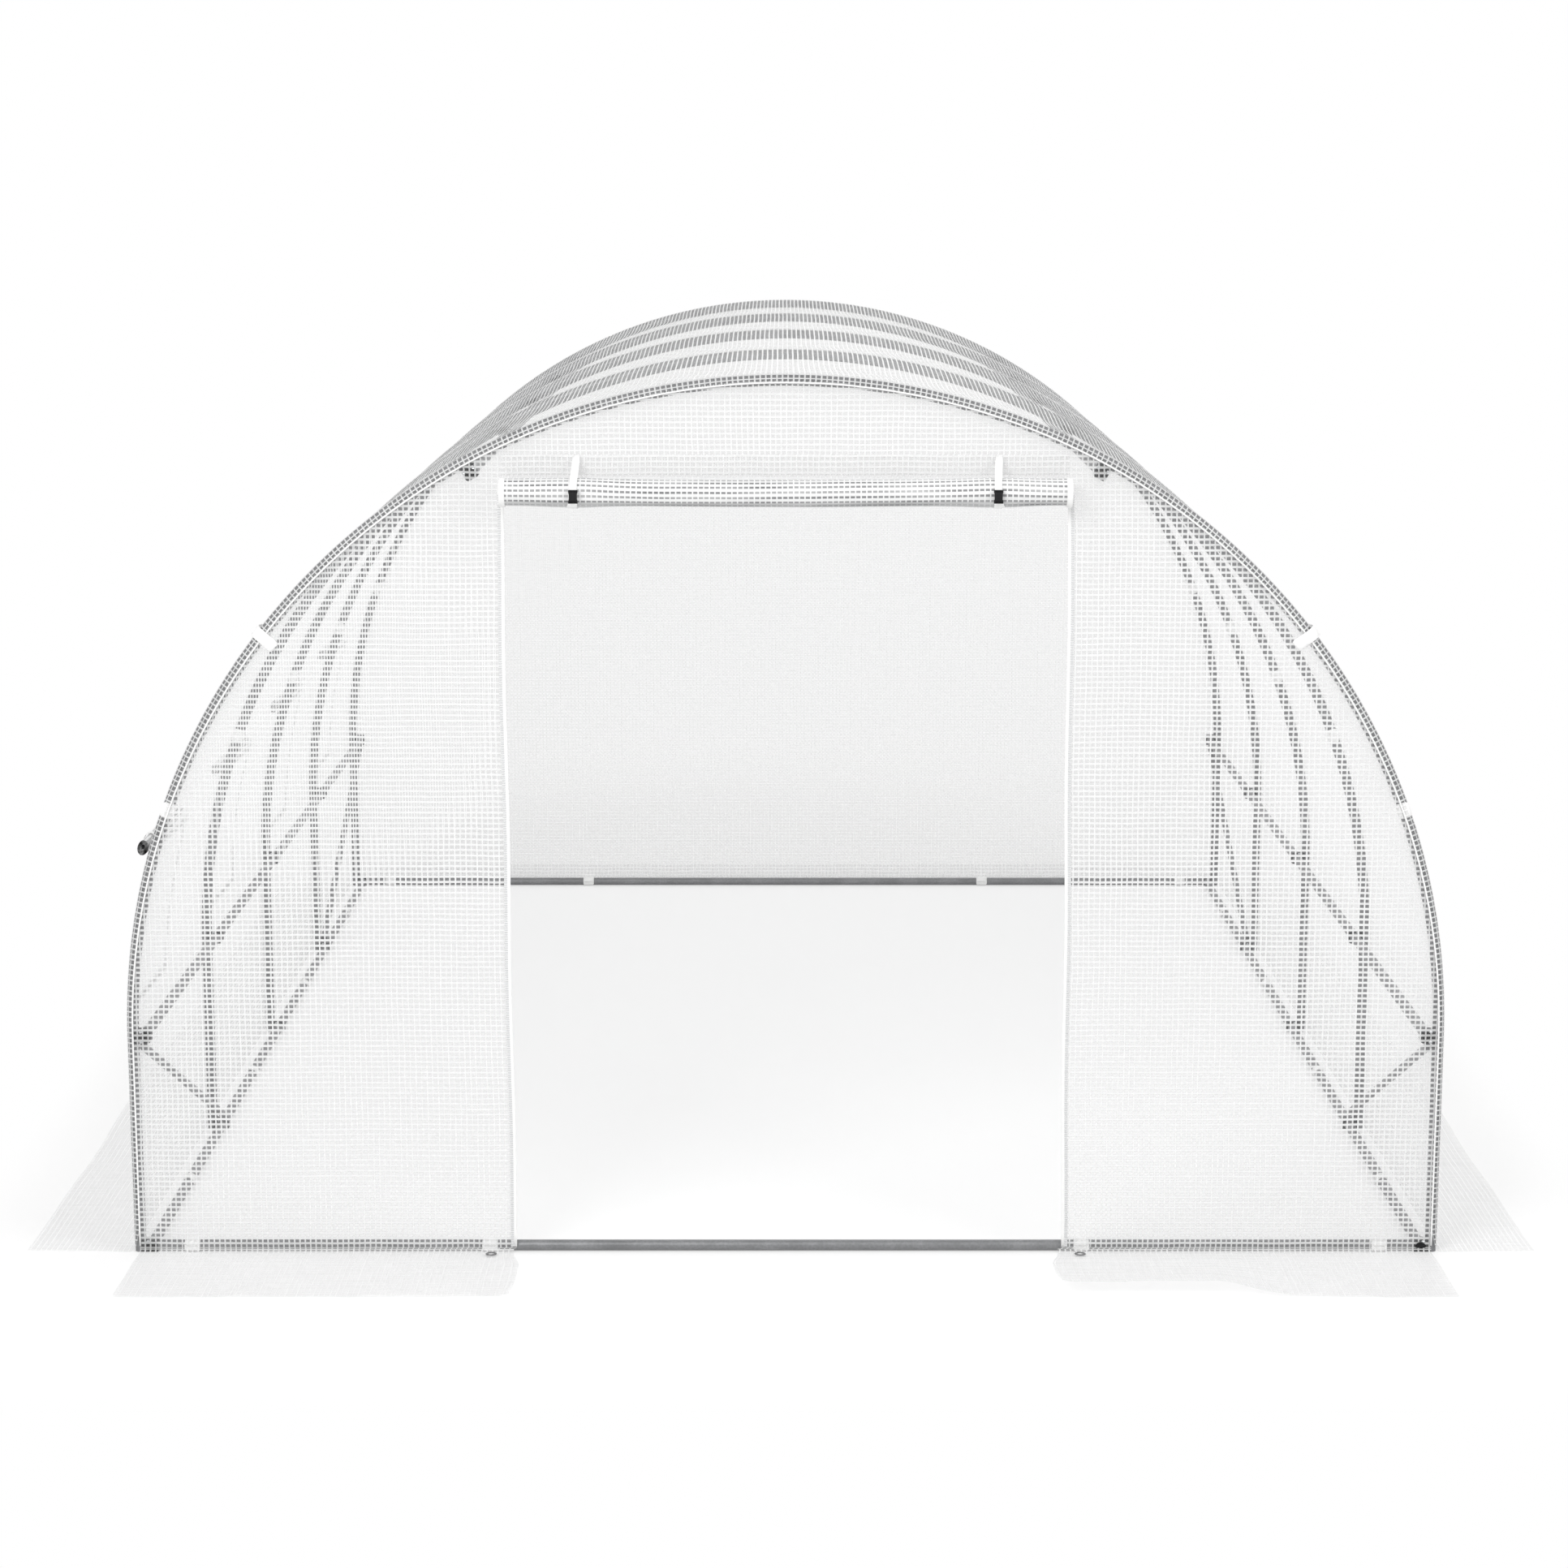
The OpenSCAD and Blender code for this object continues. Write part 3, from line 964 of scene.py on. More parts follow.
def gable_sheet(name, end, door):
    """A gable with its flap on the ground. end is -1 at the front and 1 at the back."""
    flap_n, bend_n, lower_n, upper_n = 14, 4, 64, 16
    x = gable_columns()
    top = LEG_H + np.sqrt(np.maximum(GABLE_EDGE**2 - x**2, 0))
    over_door = LEG_H + math.sqrt(GABLE_EDGE**2 - DOOR_X**2)
    share = (DOOR_Z - CREASE) / (over_door - CREASE)
    split = np.where(np.abs(x) <= DOOR_X + 1e-6, DOOR_Z, CREASE + (top - CREASE) * share)
    wall_y = end * (-FRONT - GABLE_IN)
    rows = [flap_row(x, 1 - k / flap_n, wall_y, end, door) for k in range(flap_n)]
    for k in range(bend_n):
        turn = math.pi / 2 * k / bend_n
        y = wall_y + end * CREASE * (1 - math.sin(turn))
        z = FLOOR_Z + CREASE * (1 - math.cos(turn))
        rows.append((x, y, z, -BEND * (1 - k / bend_n)))
    foot = CREASE + FLOOR_Z
    levels = [foot + (split - foot) * k / lower_n for k in range(lower_n + 1)]
    levels += [split + (top - split) * k / upper_n for k in range(1, upper_n + 1)]
    rows += [panel_row(x, z, wall_y, end, GABLE_EDGE, door) for z in levels]
    places = np.stack([np.stack(np.broadcast_arrays(*row[:3]), axis=-1) for row in rows])
    flat = np.stack([np.stack(np.broadcast_arrays(x, row[3]), axis=-1) for row in rows])
    kept = np.ones((len(rows) - 1, len(x) - 1), bool)
    if door:
        below = np.arange(len(rows) - 1) < flap_n + bend_n + lower_n
        kept[np.ix_(below, np.abs(x[1:] + x[:-1]) / 2 < DOOR_X)] = False
    return grid_piece(name, places, flat, kept, flip=end > 0)


def panel_row(x, z, wall_y, end, edge_r, door):
    """One level line of a gable panel, with its soft waves."""
    wave = bpy.context.scene.tunnel_cloth.wave
    inside = edge_r - np.where(z > LEG_H, np.hypot(x, z - LEG_H), np.abs(x))
    loose = fade(inside, 0.012, 0.22) * fade(z, 0.03, 0.4)
    if door:
        loose = loose * (1 - 0.8 * (1 - fade(np.abs(z - DOOR_Z), 0.0, 0.16)))
    deep = ripple(
        (0.45, 5.1 * x + 2.3 * z + end),
        (0.3, 2.2 * x - 4.9 * z + 1.1),
        (0.25, 9.5 * x + 1.7 * z + 2.0 * end),
    )
    y = wall_y - end * wave * loose * deep * 0.9
    shift = 0.0
    if door:
        near = 1 - fade(np.abs(x), DOOR_X, DOOR_X + 0.5)
        shift = near * 0.008 * (1 - np.clip(z / DOOR_Z, 0, 1)) ** 1.3
        shift = shift + near * 0.0015 * np.sin(9 * z + np.sign(x))
    return x + shift, y, z, z


def arch_seam(name, end):
    """A sewn seam that follows the arch and both legs on a gable."""
    out_y, thick, foot = end * (-FRONT + 0.0002), 0.0009, 0.016
    points = [(seam_radius(z), z) for z in np.linspace(foot, LEG_H, 14)[:-1]]
    for turn in np.radians(np.arange(0, 180.1, 1.5)):
        radius = seam_radius(LEG_H + HOOP_R * math.sin(turn))
        points.append((radius * math.cos(turn), LEG_H + radius * math.sin(turn)))
    points += [(-seam_radius(z), z) for z in np.linspace(LEG_H, foot, 14)[1:]]
    half = seam_half()
    rows, flat, travelled = [], [], 0.0
    for i, (x, z) in enumerate(points):
        if i:
            travelled += math.dist(points[i], points[i - 1])
        out = (
            Vector((x, 0, z - LEG_H)).normalized()
            if z > LEG_H
            else Vector((math.copysign(1, x), 0, 0))
        )
        centre = Vector((x, out_y, z))
        up = Vector((0, end, 0))
        for a, b in ((-half, 0), (-half * 0.5, thick), (half * 0.5, thick), (half, 0)):
            rows.append(centre + out * a + up * b)
            flat.append((a, travelled))
    n = 4
    faces = []
    for i in range(len(points) - 1):
        faces += [
            (i * n + k, i * n + k + 1, (i + 1) * n + k + 1, (i + 1) * n + k)
            for k in range(n - 1)
        ]
        faces.append((i * n + 3, i * n, (i + 1) * n, (i + 1) * n + 3))
    faces += [(0, 1, 2, 3), tuple((len(points) - 1) * n + k for k in (3, 2, 1, 0))]
    obj = new_piece(name, rows, faces, flat)
    turn_out(obj)
    return obj


# ---- Operators ----


class Build:
    """What the operators share."""

    bl_options = {"REGISTER", "UNDO"}


def seen_directly(tree):
    """1 for the rays that show the surroundings themselves: straight, in gloss and through glass."""
    ray = put(tree, "LightPath").outputs
    shown = calc(tree, "MAXIMUM", ray["Is Glossy Ray"], ray["Is Transmission Ray"])
    return calc(tree, "MAXIMUM", ray["Is Camera Ray"], shown)


def floor_material():
    """A pale floor that shows the tunnel's shadow round it and is plain white further away."""
    made, tree = new_material("floor")
    lit = put(tree, "BsdfDiffuse", {"Color": (0.86, 0.86, 0.86, 1)}).outputs[0]
    shaded = put(tree, "BsdfDiffuse", {"Color": (0.54, 0.54, 0.54, 1)}).outputs[0]
    glow = put(tree, "Emission", {"Strength": 0.44}).outputs[0]
    near = put(tree, "AddShader", {0: shaded, 1: glow}).outputs[0]
    far = put(tree, "Emission", {"Strength": 1.0}).outputs[0]
    place = put(tree, "TexCoord").outputs["Object"]
    away = put(tree, "VectorMath", {0: place}, operation="LENGTH").outputs["Value"]
    parts = put(tree, "SeparateXYZ", {0: place}).outputs
    fading = blend_value(tree, 2.9, 5.0, away)
    for more in (
        blend_value(tree, 1.74, 1.98, calc(tree, "ABSOLUTE", parts[0])),
        blend_value(tree, -2.55, -3.0, parts[1]),
    ):
        fading = calc(tree, "MAXIMUM", fading, more)
    output(tree, mixed(tree, seen_directly(tree), lit, mixed(tree, fading, near, far)))
    return made


class TUNNEL_OT_stage(Build, bpy.types.Operator):
    """Makes the floor, the soft light and the camera"""

    bl_idname = "tunnel.stage"
    bl_label = "Stage"

    def execute(self, context):
        bpy.ops.object.select_all(action="DESELECT")
        bpy.ops.mesh.primitive_circle_add(
            vertices=96, radius=70, fill_type="NGON", location=(0, 0, -0.0008)
        )
        floor = context.object
        floor.name = "floor"
        floor.data.materials.append(floor_material())
        self.light(context)
        self.aim_camera(context)
        return {"FINISHED"}

    def light(self, context):
        """A plain white world and three soft lamps."""
        world = bpy.data.worlds.new("studio")
        context.scene.world = world
        world.use_nodes = True
        tree = world.node_tree
        tree.nodes.clear()
        strength = blend_value(tree, 0.0, 1.0, seen_directly(tree), 0.55, 1.0)
        ground = put(tree, "Background", {"Color": (1, 1, 1, 1), "Strength": strength})
        put(tree, "OutputWorld", {"Surface": ground.outputs[0]})
        for name, place, power in (
            ("key_light", (-4.5, -8.5, 6.5), 490),
            ("fill_light", (6.5, -6.0, 6.0), 285),
            ("back_light", (1.5, 8.0, 7.5), 245),
        ):
            lamp = bpy.data.lights.new(name, "AREA")
            lamp.energy, lamp.size = power, 5.0
            light = bpy.data.objects.new(name, lamp)
            context.scene.collection.objects.link(light)
            light.location = place
            aim = Vector((0, 0, 0.9)) - Vector(place)
            light.rotation_euler = aim.to_track_quat("-Z", "Y").to_euler()

    def aim_camera(self, context):
        """The camera stands before the doorway, above head height, and looks a little down."""
        aside, distance, height, down = -0.0038, 7.4017, 2.4715, math.radians(10.53)
        lens = bpy.data.cameras.new("camera")
        camera = bpy.data.objects.new("camera", lens)
        context.scene.collection.objects.link(camera)
        camera.location = (aside, FRONT - distance, height)
        camera.rotation_euler = (math.pi / 2 - down, 0, 0)
        lens.sensor_width, lens.lens = 36.0, 77.147
        lens.clip_start, lens.clip_end = 0.1, 400
        context.scene.camera = camera
        context.scene.view_settings.view_transform = "Standard"


class TUNNEL_OT_tubes(Build, bpy.types.Operator):
    """Gives the hoops, rails and braces their galvanised finish"""

    bl_idname = "tunnel.tubes"
    bl_label = "Tubes"

    def execute(self, context):
        for name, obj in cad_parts.items():
            rail = "rail" in name and "caps" not in name and "ties" not in name
            if name in HOOPS or rail or "braces" in name:
                dress(obj, "tube")
        return {"FINISHED"}


class TUNNEL_OT_cover(Build, bpy.types.Operator):
    """Lays the main cover over the hoops, with the vents in its left wall"""

    bl_idname = "tunnel.cover"
    bl_label = "Cover"

    def execute(self, context):
        cover, wrap = build_cover()
        seat(
            cover,
            "cover_film",
            "film",
            "left_wall_film",
            "right_wall_film",
            *[f"roof_film_{n}" for n in range(1, 7)],
            "left_flap",
            "right_flap",
        )
        for net in vent_nets():
            seat(net, "net", "film")
        tapes = seat(vent_bindings(), "webbing", "webbing")
        return {"FINISHED"}


class TUNNEL_OT_gables(Build, bpy.types.Operator):
    """Hangs the front gable with its doorway and the back gable, each with its flap and seam"""

    bl_idname = "tunnel.gables"
    bl_label = "Gables"

    def execute(self, context):
        front = gable_sheet("front_gable", -1, True)
        seat(
            front,
            "gable_film",
            "film",
            "front_left_film",
            "front_right_film",
            "front_top_film",
            "front_left_flap",
            "front_right_flap",
        )
        back = gable_sheet("back_gable", 1, False)
        seat(back, "back_film", "film", "back_film", "back_flap")
        for obj, end in ((front, -1), (back, 1)):
            seam = arch_seam(obj.name.replace("gable", "seam"), end)
            seat(seam, "webbing", "webbing")
        return {"FINISHED"}


ROLL_CORE = 0.006
HEM_LOW, HEM_TOP = 0.036, 0.081


def spiral(radius, core, length, turn_from, layers_apart):
    """The section of a rolled sheet, from its outer layer inwards.

    Each place is (angle, radius, length along the sheet).
    """
    out, travelled, turn, r = [], 0.0, turn_from, radius
    step = math.radians(11.25)
    while travelled < length and r > core:
        out.append((turn, r, travelled))
        travelled += r * step
        turn += step
        r -= layers_apart * step / math.tau
    return out


class TUNNEL_OT_door(Build, bpy.types.Operator):
    """Rolls the door up above the doorway and holds it with two buckled ties"""

    bl_idname = "tunnel.door"
    bl_label = "Rolled-up door"

    def execute(self, context):
        radius = ROLL_R - 0.0012
        apart = math.pi * (radius**2 - ROLL_CORE**2) / (DOOR_Z - 0.1)
        rolled = spiral(radius, ROLL_CORE, DOOR_Z, math.radians(48), apart)
        door = self.roll(rolled)
        seat(door, "rolled_film", "film", "rolled_door")
        edges = []
        for side in (-1, 1):
            path = [
                (
                    side * (DOOR_X - 0.0025),
                    ROLL_Y - 0.0006 + (r + 0.0004) * math.cos(turn),
                    DOOR_Z + (r + 0.0004) * math.sin(turn),
                )
                for turn, r, travelled in rolled[::2]
                if travelled < 1.2
            ]
            edges.append(strap("edge", path, (1, 0, 0), 0.013, 0.0017, False))
        edge = seat(joined(edges, "door_zip_edges"), "webbing", "webbing")
        hem = self.hem()
        seat(hem, "gable_film", "film")
        ties = joined(door_tie(-1) + door_tie(1), "door_ties_webbing")
        seat(ties, "webbing", "webbing", "door_ties")
        front_y = ROLL_Y - ROLL_R - GAP - 0.0024
        places = [
            Matrix.Translation((side * TIE_SPAN, front_y, DOOR_Z - 0.005)) for side in (-1, 1)
        ]
        buckles = copies(buckle_piece(), places, "buckles")
        seat(buckles, "plastic", "black_plastic", "door_buckles")
        return {"FINISHED"}

    def roll(self, rolled):
        """The door's sheet wound up: it sags in the middle, and the ties draw it in less."""
        x = steps((-DOOR_X + 0.002, 0.02), (DOOR_X - 0.002, 0))
        by_tie = np.exp(-(((np.abs(x) - TIE_SPAN) / 0.08) ** 2))
        pull = 0.955 + 0.055 * by_tie + 0.01 * ripple((0.6, 8.0 * x + 0.9), (0.4, 21.0 * x))
        sink = 0.0015 - 0.0035 * np.cos(np.pi * x / (2 * DOOR_X)) ** 2
        start, radius, _ = rolled[0]
        # A thread runs along the very front of the roll
        front = radius * (math.pi - start) + 0.001
        places, flat = [], []
        for turn, r, travelled in rolled:
            out, up = r * math.cos(turn) - 0.0006, r * math.sin(turn)
            below = max(0.0, -up / radius)
            y = ROLL_Y + out * (pull if out < 0 else 1) + 0 * x
            z = DOOR_Z + up * pull + sink - 0.0025 * by_tie * below
            along = travelled - front + 0.0016 * np.sin(6.0 * x) + 0.0025 * by_tie
            places.append(np.stack([x, y, z], axis=-1))
            flat.append(np.stack([x, along], axis=-1))
        return grid_piece("door_sheet", np.stack(places), np.stack(flat), flip=True)

    def hem(self):
        """The second layer of film that shows above the roll."""
        across, up = steps((-DOOR_X, 0.05), (DOOR_X, 0)), steps((HEM_LOW, 0.009), (HEM_TOP, 0))
        xx, zz = np.meshgrid(across, up)
        places = np.stack([xx, FRONT - 0.0019 + 0 * xx, DOOR_Z + zz], axis=-1)
        return grid_piece("door_hem", places, np.stack([xx + 0.004, zz + 0.005], axis=-1))


def door_tie(side):
    """The webbing over one end of the roll: sewn above it, taut over its front and back under it."""
    x, thick = side * TIE_SPAN, bpy.context.scene.tunnel_cloth.webbing
    band = ROLL_R + 0.0011
    back = FRONT - 0.0016 - ROLL_Y
    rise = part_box("door_ties")[1].z - DOOR_Z
    touch = math.atan2(rise, back) + math.acos(band / math.hypot(back, rise))
    path = []
    for k in range(5):
        share = k / 5
        y = back + (band * math.cos(touch) - back) * share
        z = rise + (band * math.sin(touch) - rise) * share
        path.append((x + 0.005 * (1 - share), ROLL_Y + y, DOOR_Z + z))
    for turn in np.linspace(touch, math.radians(270), 22):
        path.append((x, ROLL_Y + band * math.cos(turn), DOOR_Z + band * math.sin(turn)))
    path.append((x, ROLL_Y + back * 0.5, DOOR_Z - band))
    path.append((x, ROLL_Y + back, DOOR_Z - band + 0.002))
    tail = []
    for k in range(9):
        turn = math.radians(196 + 5 * k)
        y = (band + 0.0022 + 0.0001 * k) * math.cos(turn)
        z = (band + 0.0022) * math.sin(turn)
        tail.append((x + 0.001 * k * side, ROLL_Y + y, DOOR_Z + z))
    return [
        strap("tie", path, (1, 0, 0), 0.0165, thick),
        strap("tail", tail, (1, 0, 0), 0.0155, thick),
    ]


def start_piece(operator, name, **settings):
    """Adds a primitive with nothing else selected, with its place in its mesh."""
    bpy.ops.object.select_all(action="DESELECT")
    operator(**settings)
    obj = bpy.context.object
    obj.name = obj.data.name = name
    bpy.ops.object.transform_apply(location=True, rotation=True, scale=True)
    return obj


def pick(obj, test, kind="FACE"):
    """In edit mode, selects the faces or edges whose middle and direction pass the test."""
    bpy.ops.mesh.select_mode(type=kind)
    bpy.ops.mesh.select_all(action="DESELECT")
    shape = bmesh.from_edit_mesh(obj.data)
    for part in shape.faces if kind == "FACE" else shape.edges:
        if kind == "FACE":
            chosen = test(part.calc_center_median(), part.normal)
        else:
            a, b = (v.co for v in part.verts)
            chosen = test((a + b) / 2, (b - a).normalized())
        part.select_set(bool(chosen))
    bmesh.update_edit_mesh(obj.data)


def edit_mode(on):
    """Goes into edit mode or back to object mode."""
    bpy.ops.object.mode_set(mode="EDIT" if on else "OBJECT")


def inset(obj, test, *insets):
    """In edit mode, insets the faces that pass the test by each (thickness, depth) in turn."""
    pick(obj, test)
    for thickness, depth in insets:
        bpy.ops.mesh.inset(thickness=thickness, depth=depth)


def buckle_piece():
    """A side-release buckle, upright, with its back at Y 0 and its middle at the origin."""
    wide, high, deep = 0.0205, 0.0295, 0.0062
    body = start_piece(
        bpy.ops.mesh.primitive_cube_add,
        "buckle",
        size=1,
        location=(0, -deep / 2, 0),
        scale=(wide, deep, high),
    )
    edit_mode(True)
    bpy.ops.mesh.select_all(action="SELECT")
    bpy.ops.mesh.subdivide(number_cuts=5)
    # Finger notches on both sides
    pick(body, lambda c, n: abs(n.x) > 0.9 and abs(c.z) < high * 0.2)
    bpy.ops.transform.resize(value=(0.86, 1, 1), center_override=(0, -deep / 2, 0))
    # The raised middle of the front, and the two slots for the webbing
    inset(
        body,
        lambda c, n: n.y < -0.9 and abs(c.x) < wide * 0.32 and abs(c.z) < high * 0.3,
        (0.0008, 0.0009),
    )
    inset(
        body,
        lambda c, n: n.y < -0.9
        and abs(c.x) < wide * 0.34
        and high * 0.33 < abs(c.z) < high * 0.5,
        (0.0007, -0.003),
    )
    edit_mode(False)
    smooth = body.modifiers.new("round", "BEVEL")
    smooth.width, smooth.segments, smooth.limit_method = 0.0007, 2, "ANGLE"
    bpy.ops.object.modifier_apply(modifier=smooth.name)
    bpy.ops.object.shade_smooth_by_angle(angle=math.radians(40))
    return body


# ---- Clamps, caps, eyelets ----


def bolt_piece(place, axis, radius, height):
    """A hexagon bolt head on a washer, pointing along the axis."""
    axis = Vector(axis)
    turn = Vector((0, 0, 1)).rotation_difference(axis).to_euler()
    thick = 0.0008
    head = start_piece(
        bpy.ops.mesh.primitive_cylinder_add,
        "bolt",
        vertices=6,
        radius=radius,
        depth=height,
        location=Vector(place) + axis * (height / 2 + 0.0006),
        rotation=turn,
    )
    edit_mode(True)
    outer, inner = (radius * 0.16, radius * 0.12), (radius * 0.3, -radius * 0.1)
    inset(head, lambda c, n: n.dot(axis) > 0.9, outer, inner)
    edit_mode(False)
    washer = start_piece(
        bpy.ops.mesh.primitive_cylinder_add,
        "washer",
        vertices=16,
        radius=radius * 1.35,
        depth=thick,
        location=Vector(place) + axis * thick / 2,
        rotation=turn,
    )
    edit_mode(True)
    inset(washer, lambda c, n: n.dot(axis) > 0.9, (radius * 0.15, 0.0002))
    edit_mode(False)
    return joined([head, washer], "bolt")


CLAMP_REACH = TUBE_R + GAP + 0.003


def clamp_pieces(below):
    """A saddle round a rail that bears on a hoop, and its bolts.

    The rail runs along Y through the origin, and below is how far down from it the saddle goes.
    """
    bore, reach = TUBE_R + GAP, CLAMP_REACH
    out = HOOP_R - RAIL_R
    whole = below > TUBE_R
    body = start_piece(
        bpy.ops.mesh.primitive_cube_add,
        "clamp",
        size=1,
        location=((out - reach) / 2, 0, (reach - below) / 2),
        scale=(out + reach, TUBE_D, reach + below),
    )
    edit_mode(True)
    pick(
        body,
        lambda c, d: abs(d.y) > 0.9 and c.x < 0 and (c.z > 0 or whole),
        "EDGE",
    )
    bpy.ops.mesh.bevel(offset=0.0068, segments=4)
    edit_mode(False)
    for place, turn, deep in (
        ((0, 0, 0), (math.pi / 2, 0, 0), TUBE_D * 2),
        ((out, 0, 0), (0, 0, 0), TUBE_D * 3),
    ):
        cutter = start_piece(
            bpy.ops.mesh.primitive_cylinder_add,
            "cutter",
            vertices=32,
            radius=bore,
            depth=deep,
            location=place,
            rotation=turn,
        )
        bpy.ops.object.select_all(action="DESELECT")
        body.select_set(True)
        bpy.context.view_layer.objects.active = body
        cut = body.modifiers.new("bore", "BOOLEAN")
        cut.operation, cut.object, cut.solver = "DIFFERENCE", cutter, "EXACT"
        bpy.ops.object.modifier_apply(modifier=cut.name)
        bpy.data.objects.remove(cutter)
    soft = body.modifiers.new("edges", "BEVEL")
    soft.width, soft.segments, soft.limit_method = 0.0005, 1, "ANGLE"
    soft.angle_limit = math.radians(50)
    bpy.ops.object.modifier_apply(modifier=soft.name)
    bpy.ops.object.shade_smooth_by_angle(angle=math.radians(35))
    bolt_zs = (-reach + 0.0042, reach - 0.0042) if whole else (reach - 0.0042,)
    bolts = [
        bolt_piece((0.0062, side * TUBE_R, z), (0, side, 0), 0.0033, 0.0028)
        for side in (-1, 1)
        for z in bolt_zs
    ]
    return body, joined(bolts, "clamp_bolts")


def arch_place(angle, y, radius, side):
    """The matrix that puts a piece at an angle up the arch, on the right (1) or left (-1) side."""
    place = (
        Matrix.Translation((0, 0, LEG_H))
        @ Matrix.Rotation(-angle, 4, "Y")
        @ Matrix.Translation((radius, y * side, 0))
    )
    return place if side > 0 else Matrix.Rotation(math.pi, 4, "Z") @ place


class TUNNEL_OT_clamps(Build, bpy.types.Operator):
    """Fits a bolted clamp where each rail crosses a hoop"""

    bl_idname = "tunnel.clamps"
    bl_label = "Clamps"

    def execute(self, context):
        for name, angle, below in (
            ("foot_clamps", None, TUBE_R),
            ("side_clamps", 0.0, CLAMP_REACH),
            ("shoulder_clamps", SHOULDER_A, CLAMP_REACH),
        ):
            body, bolts = clamp_pieces(below)
            places = []
            for side in (-1, 1):
                for y in HOOP_YS:
                    if angle is None:
                        place = Matrix.Translation((RAIL_R, y * side, TUBE_R))
                        if side < 0:
                            place = Matrix.Rotation(math.pi, 4, "Z") @ place
                    else:
                        place = arch_place(angle, y, RAIL_R, side)
                    places.append(place)
            seat(copies(bolts, places, name + "_bolts"), "zinc", "tube")
            seat(copies(body, places, name + "_cast"), "clamp", "clamp", name)
        return {"FINISHED"}


class TUNNEL_OT_caps(Build, bpy.types.Operator):
    """Pushes a domed cap into each end of the six long rails"""

    bl_idname = "tunnel.caps"
    bl_label = "Rail caps"

    def execute(self, context):
        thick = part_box("rail_caps")[1].y - RAIL_END
        stem = thick * 0.55
        cap = start_piece(
            bpy.ops.mesh.primitive_cylinder_add,
            "cap",
            vertices=32,
            radius=TUBE_R,
            depth=stem,
            location=(0, stem / 2, 0),
            rotation=(-math.pi / 2, 0, 0),
        )
        edit_mode(True)
        rim, slope = (TUBE_R * 0.16, thick * 0.25), (TUBE_R * 0.25, thick * 0.13)
        inset(cap, lambda c, n: n.y > 0.9, rim, slope, (TUBE_R * 0.3, thick * 0.05))
        edit_mode(False)
        bpy.ops.object.shade_smooth_by_angle(angle=math.radians(40))
        places = []
        for side in (-1, 1):
            for end in (-1, 1):
                turn = Matrix.Rotation(0 if end > 0 else math.pi, 4, "Z")
                spots = [(RAIL_R, TUBE_R)]
                for angle in (0.0, SHOULDER_A):
                    spots.append((RAIL_R * math.cos(angle), LEG_H + RAIL_R * math.sin(angle)))
                for x, z in spots:
                    # The cap at the front right foot is loose, and its top leans out over the film
                    loose = side > 0 > end and z == TUBE_R
                    lean = Matrix.Rotation(math.radians(14 if loose else 0), 4, "X")
                    y = end * RAIL_END - (0.0016 if loose else 0)
                    places.append(Matrix.Translation((side * x, y, z)) @ lean @ turn)
        seat(copies(cap, places, "rail_end_caps"), "plastic", "black_plastic", "rail_caps")
        return {"FINISHED"}


class TUNNEL_OT_eyelets(Build, bpy.types.Operator):
    """Presses a metal eyelet into the film on each side of the doorway"""

    bl_idname = "tunnel.eyelets"
    bl_label = "Eyelets"

    def execute(self, context):
        low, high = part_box("eyelets")
        outer = (high.y - low.y) / 2
        hole = outer * 12 / 26
        tube = (outer - hole) / 2
        centre = (low + high) / 2
        ring = start_piece(
            bpy.ops.mesh.primitive_torus_add,
            "eyelet",
            major_segments=40,
            minor_segments=12,
            major_radius=outer - tube,
            minor_radius=tube,
        )
        edit_mode(True)
        bpy.ops.mesh.select_all(action="SELECT")
        bpy.ops.transform.resize(
            value=(1, 1, (high.z - low.z) / 2 / tube), center_override=(0, 0, 0)
        )
        inset(ring, lambda c, n: n.z > 0.93, (tube * 0.12, tube * 0.03))
        edit_mode(False)
        bpy.ops.object.shade_smooth()
        places = [
            Matrix.Translation((side * (high.x - outer), centre.y, centre.z + 0.002))
            for side in (-1, 1)
        ]
        seat(copies(ring, places, "door_eyelets"), "eyelet", "eyelet_metal", "eyelets")
        return {"FINISHED"}


# ---- Ties, zips and vent rolls ----


# A tie's loop lies this far round the tube, and its end this far over the loop
TIE_LOOSE, TIE_LAP = 0.0009, 0.0014


def height_angle(node):
    """How far up the arch the middle of a node's box lies."""
    return math.asin((middle(node, Z) - LEG_H) / HOOP_R)


def hoop_tie_parts(width):
    """A tie round the inner side of a tube: a loop and the end that laps over it.

    +X points outwards.
    """
    thick = bpy.context.scene.tunnel_cloth.webbing
    inner = TUBE_R + TIE_LOOSE
    over = inner + TIE_LAP
    loop = [(TUBE_R + 0.0005, -inner, 0), (TUBE_R * 0.5, -inner, 0)]
    for k in range(15):
        turn = math.radians(270 - 180 * k / 14)
        loop.append((inner * math.cos(turn), inner * math.sin(turn), 0))
    loop += [(TUBE_R * 0.5, inner, 0), (TUBE_R + 0.0005, inner, 0)]
    lap = [(TUBE_R * 0.7, over, 0)]
    for k in range(11):
        turn = math.radians(90 + 150 * k / 10)
        lap.append((over * math.cos(turn), over * math.sin(turn), 0))
    lap.append((-over * 0.62, -over * 1.05, 0))
    parts = [
        strap("loop", loop, (0, 0, 1), width, thick),
        strap("lap", lap, (0, 0, 1), width * 0.92, thick),
    ]
    return joined(parts, "tie")


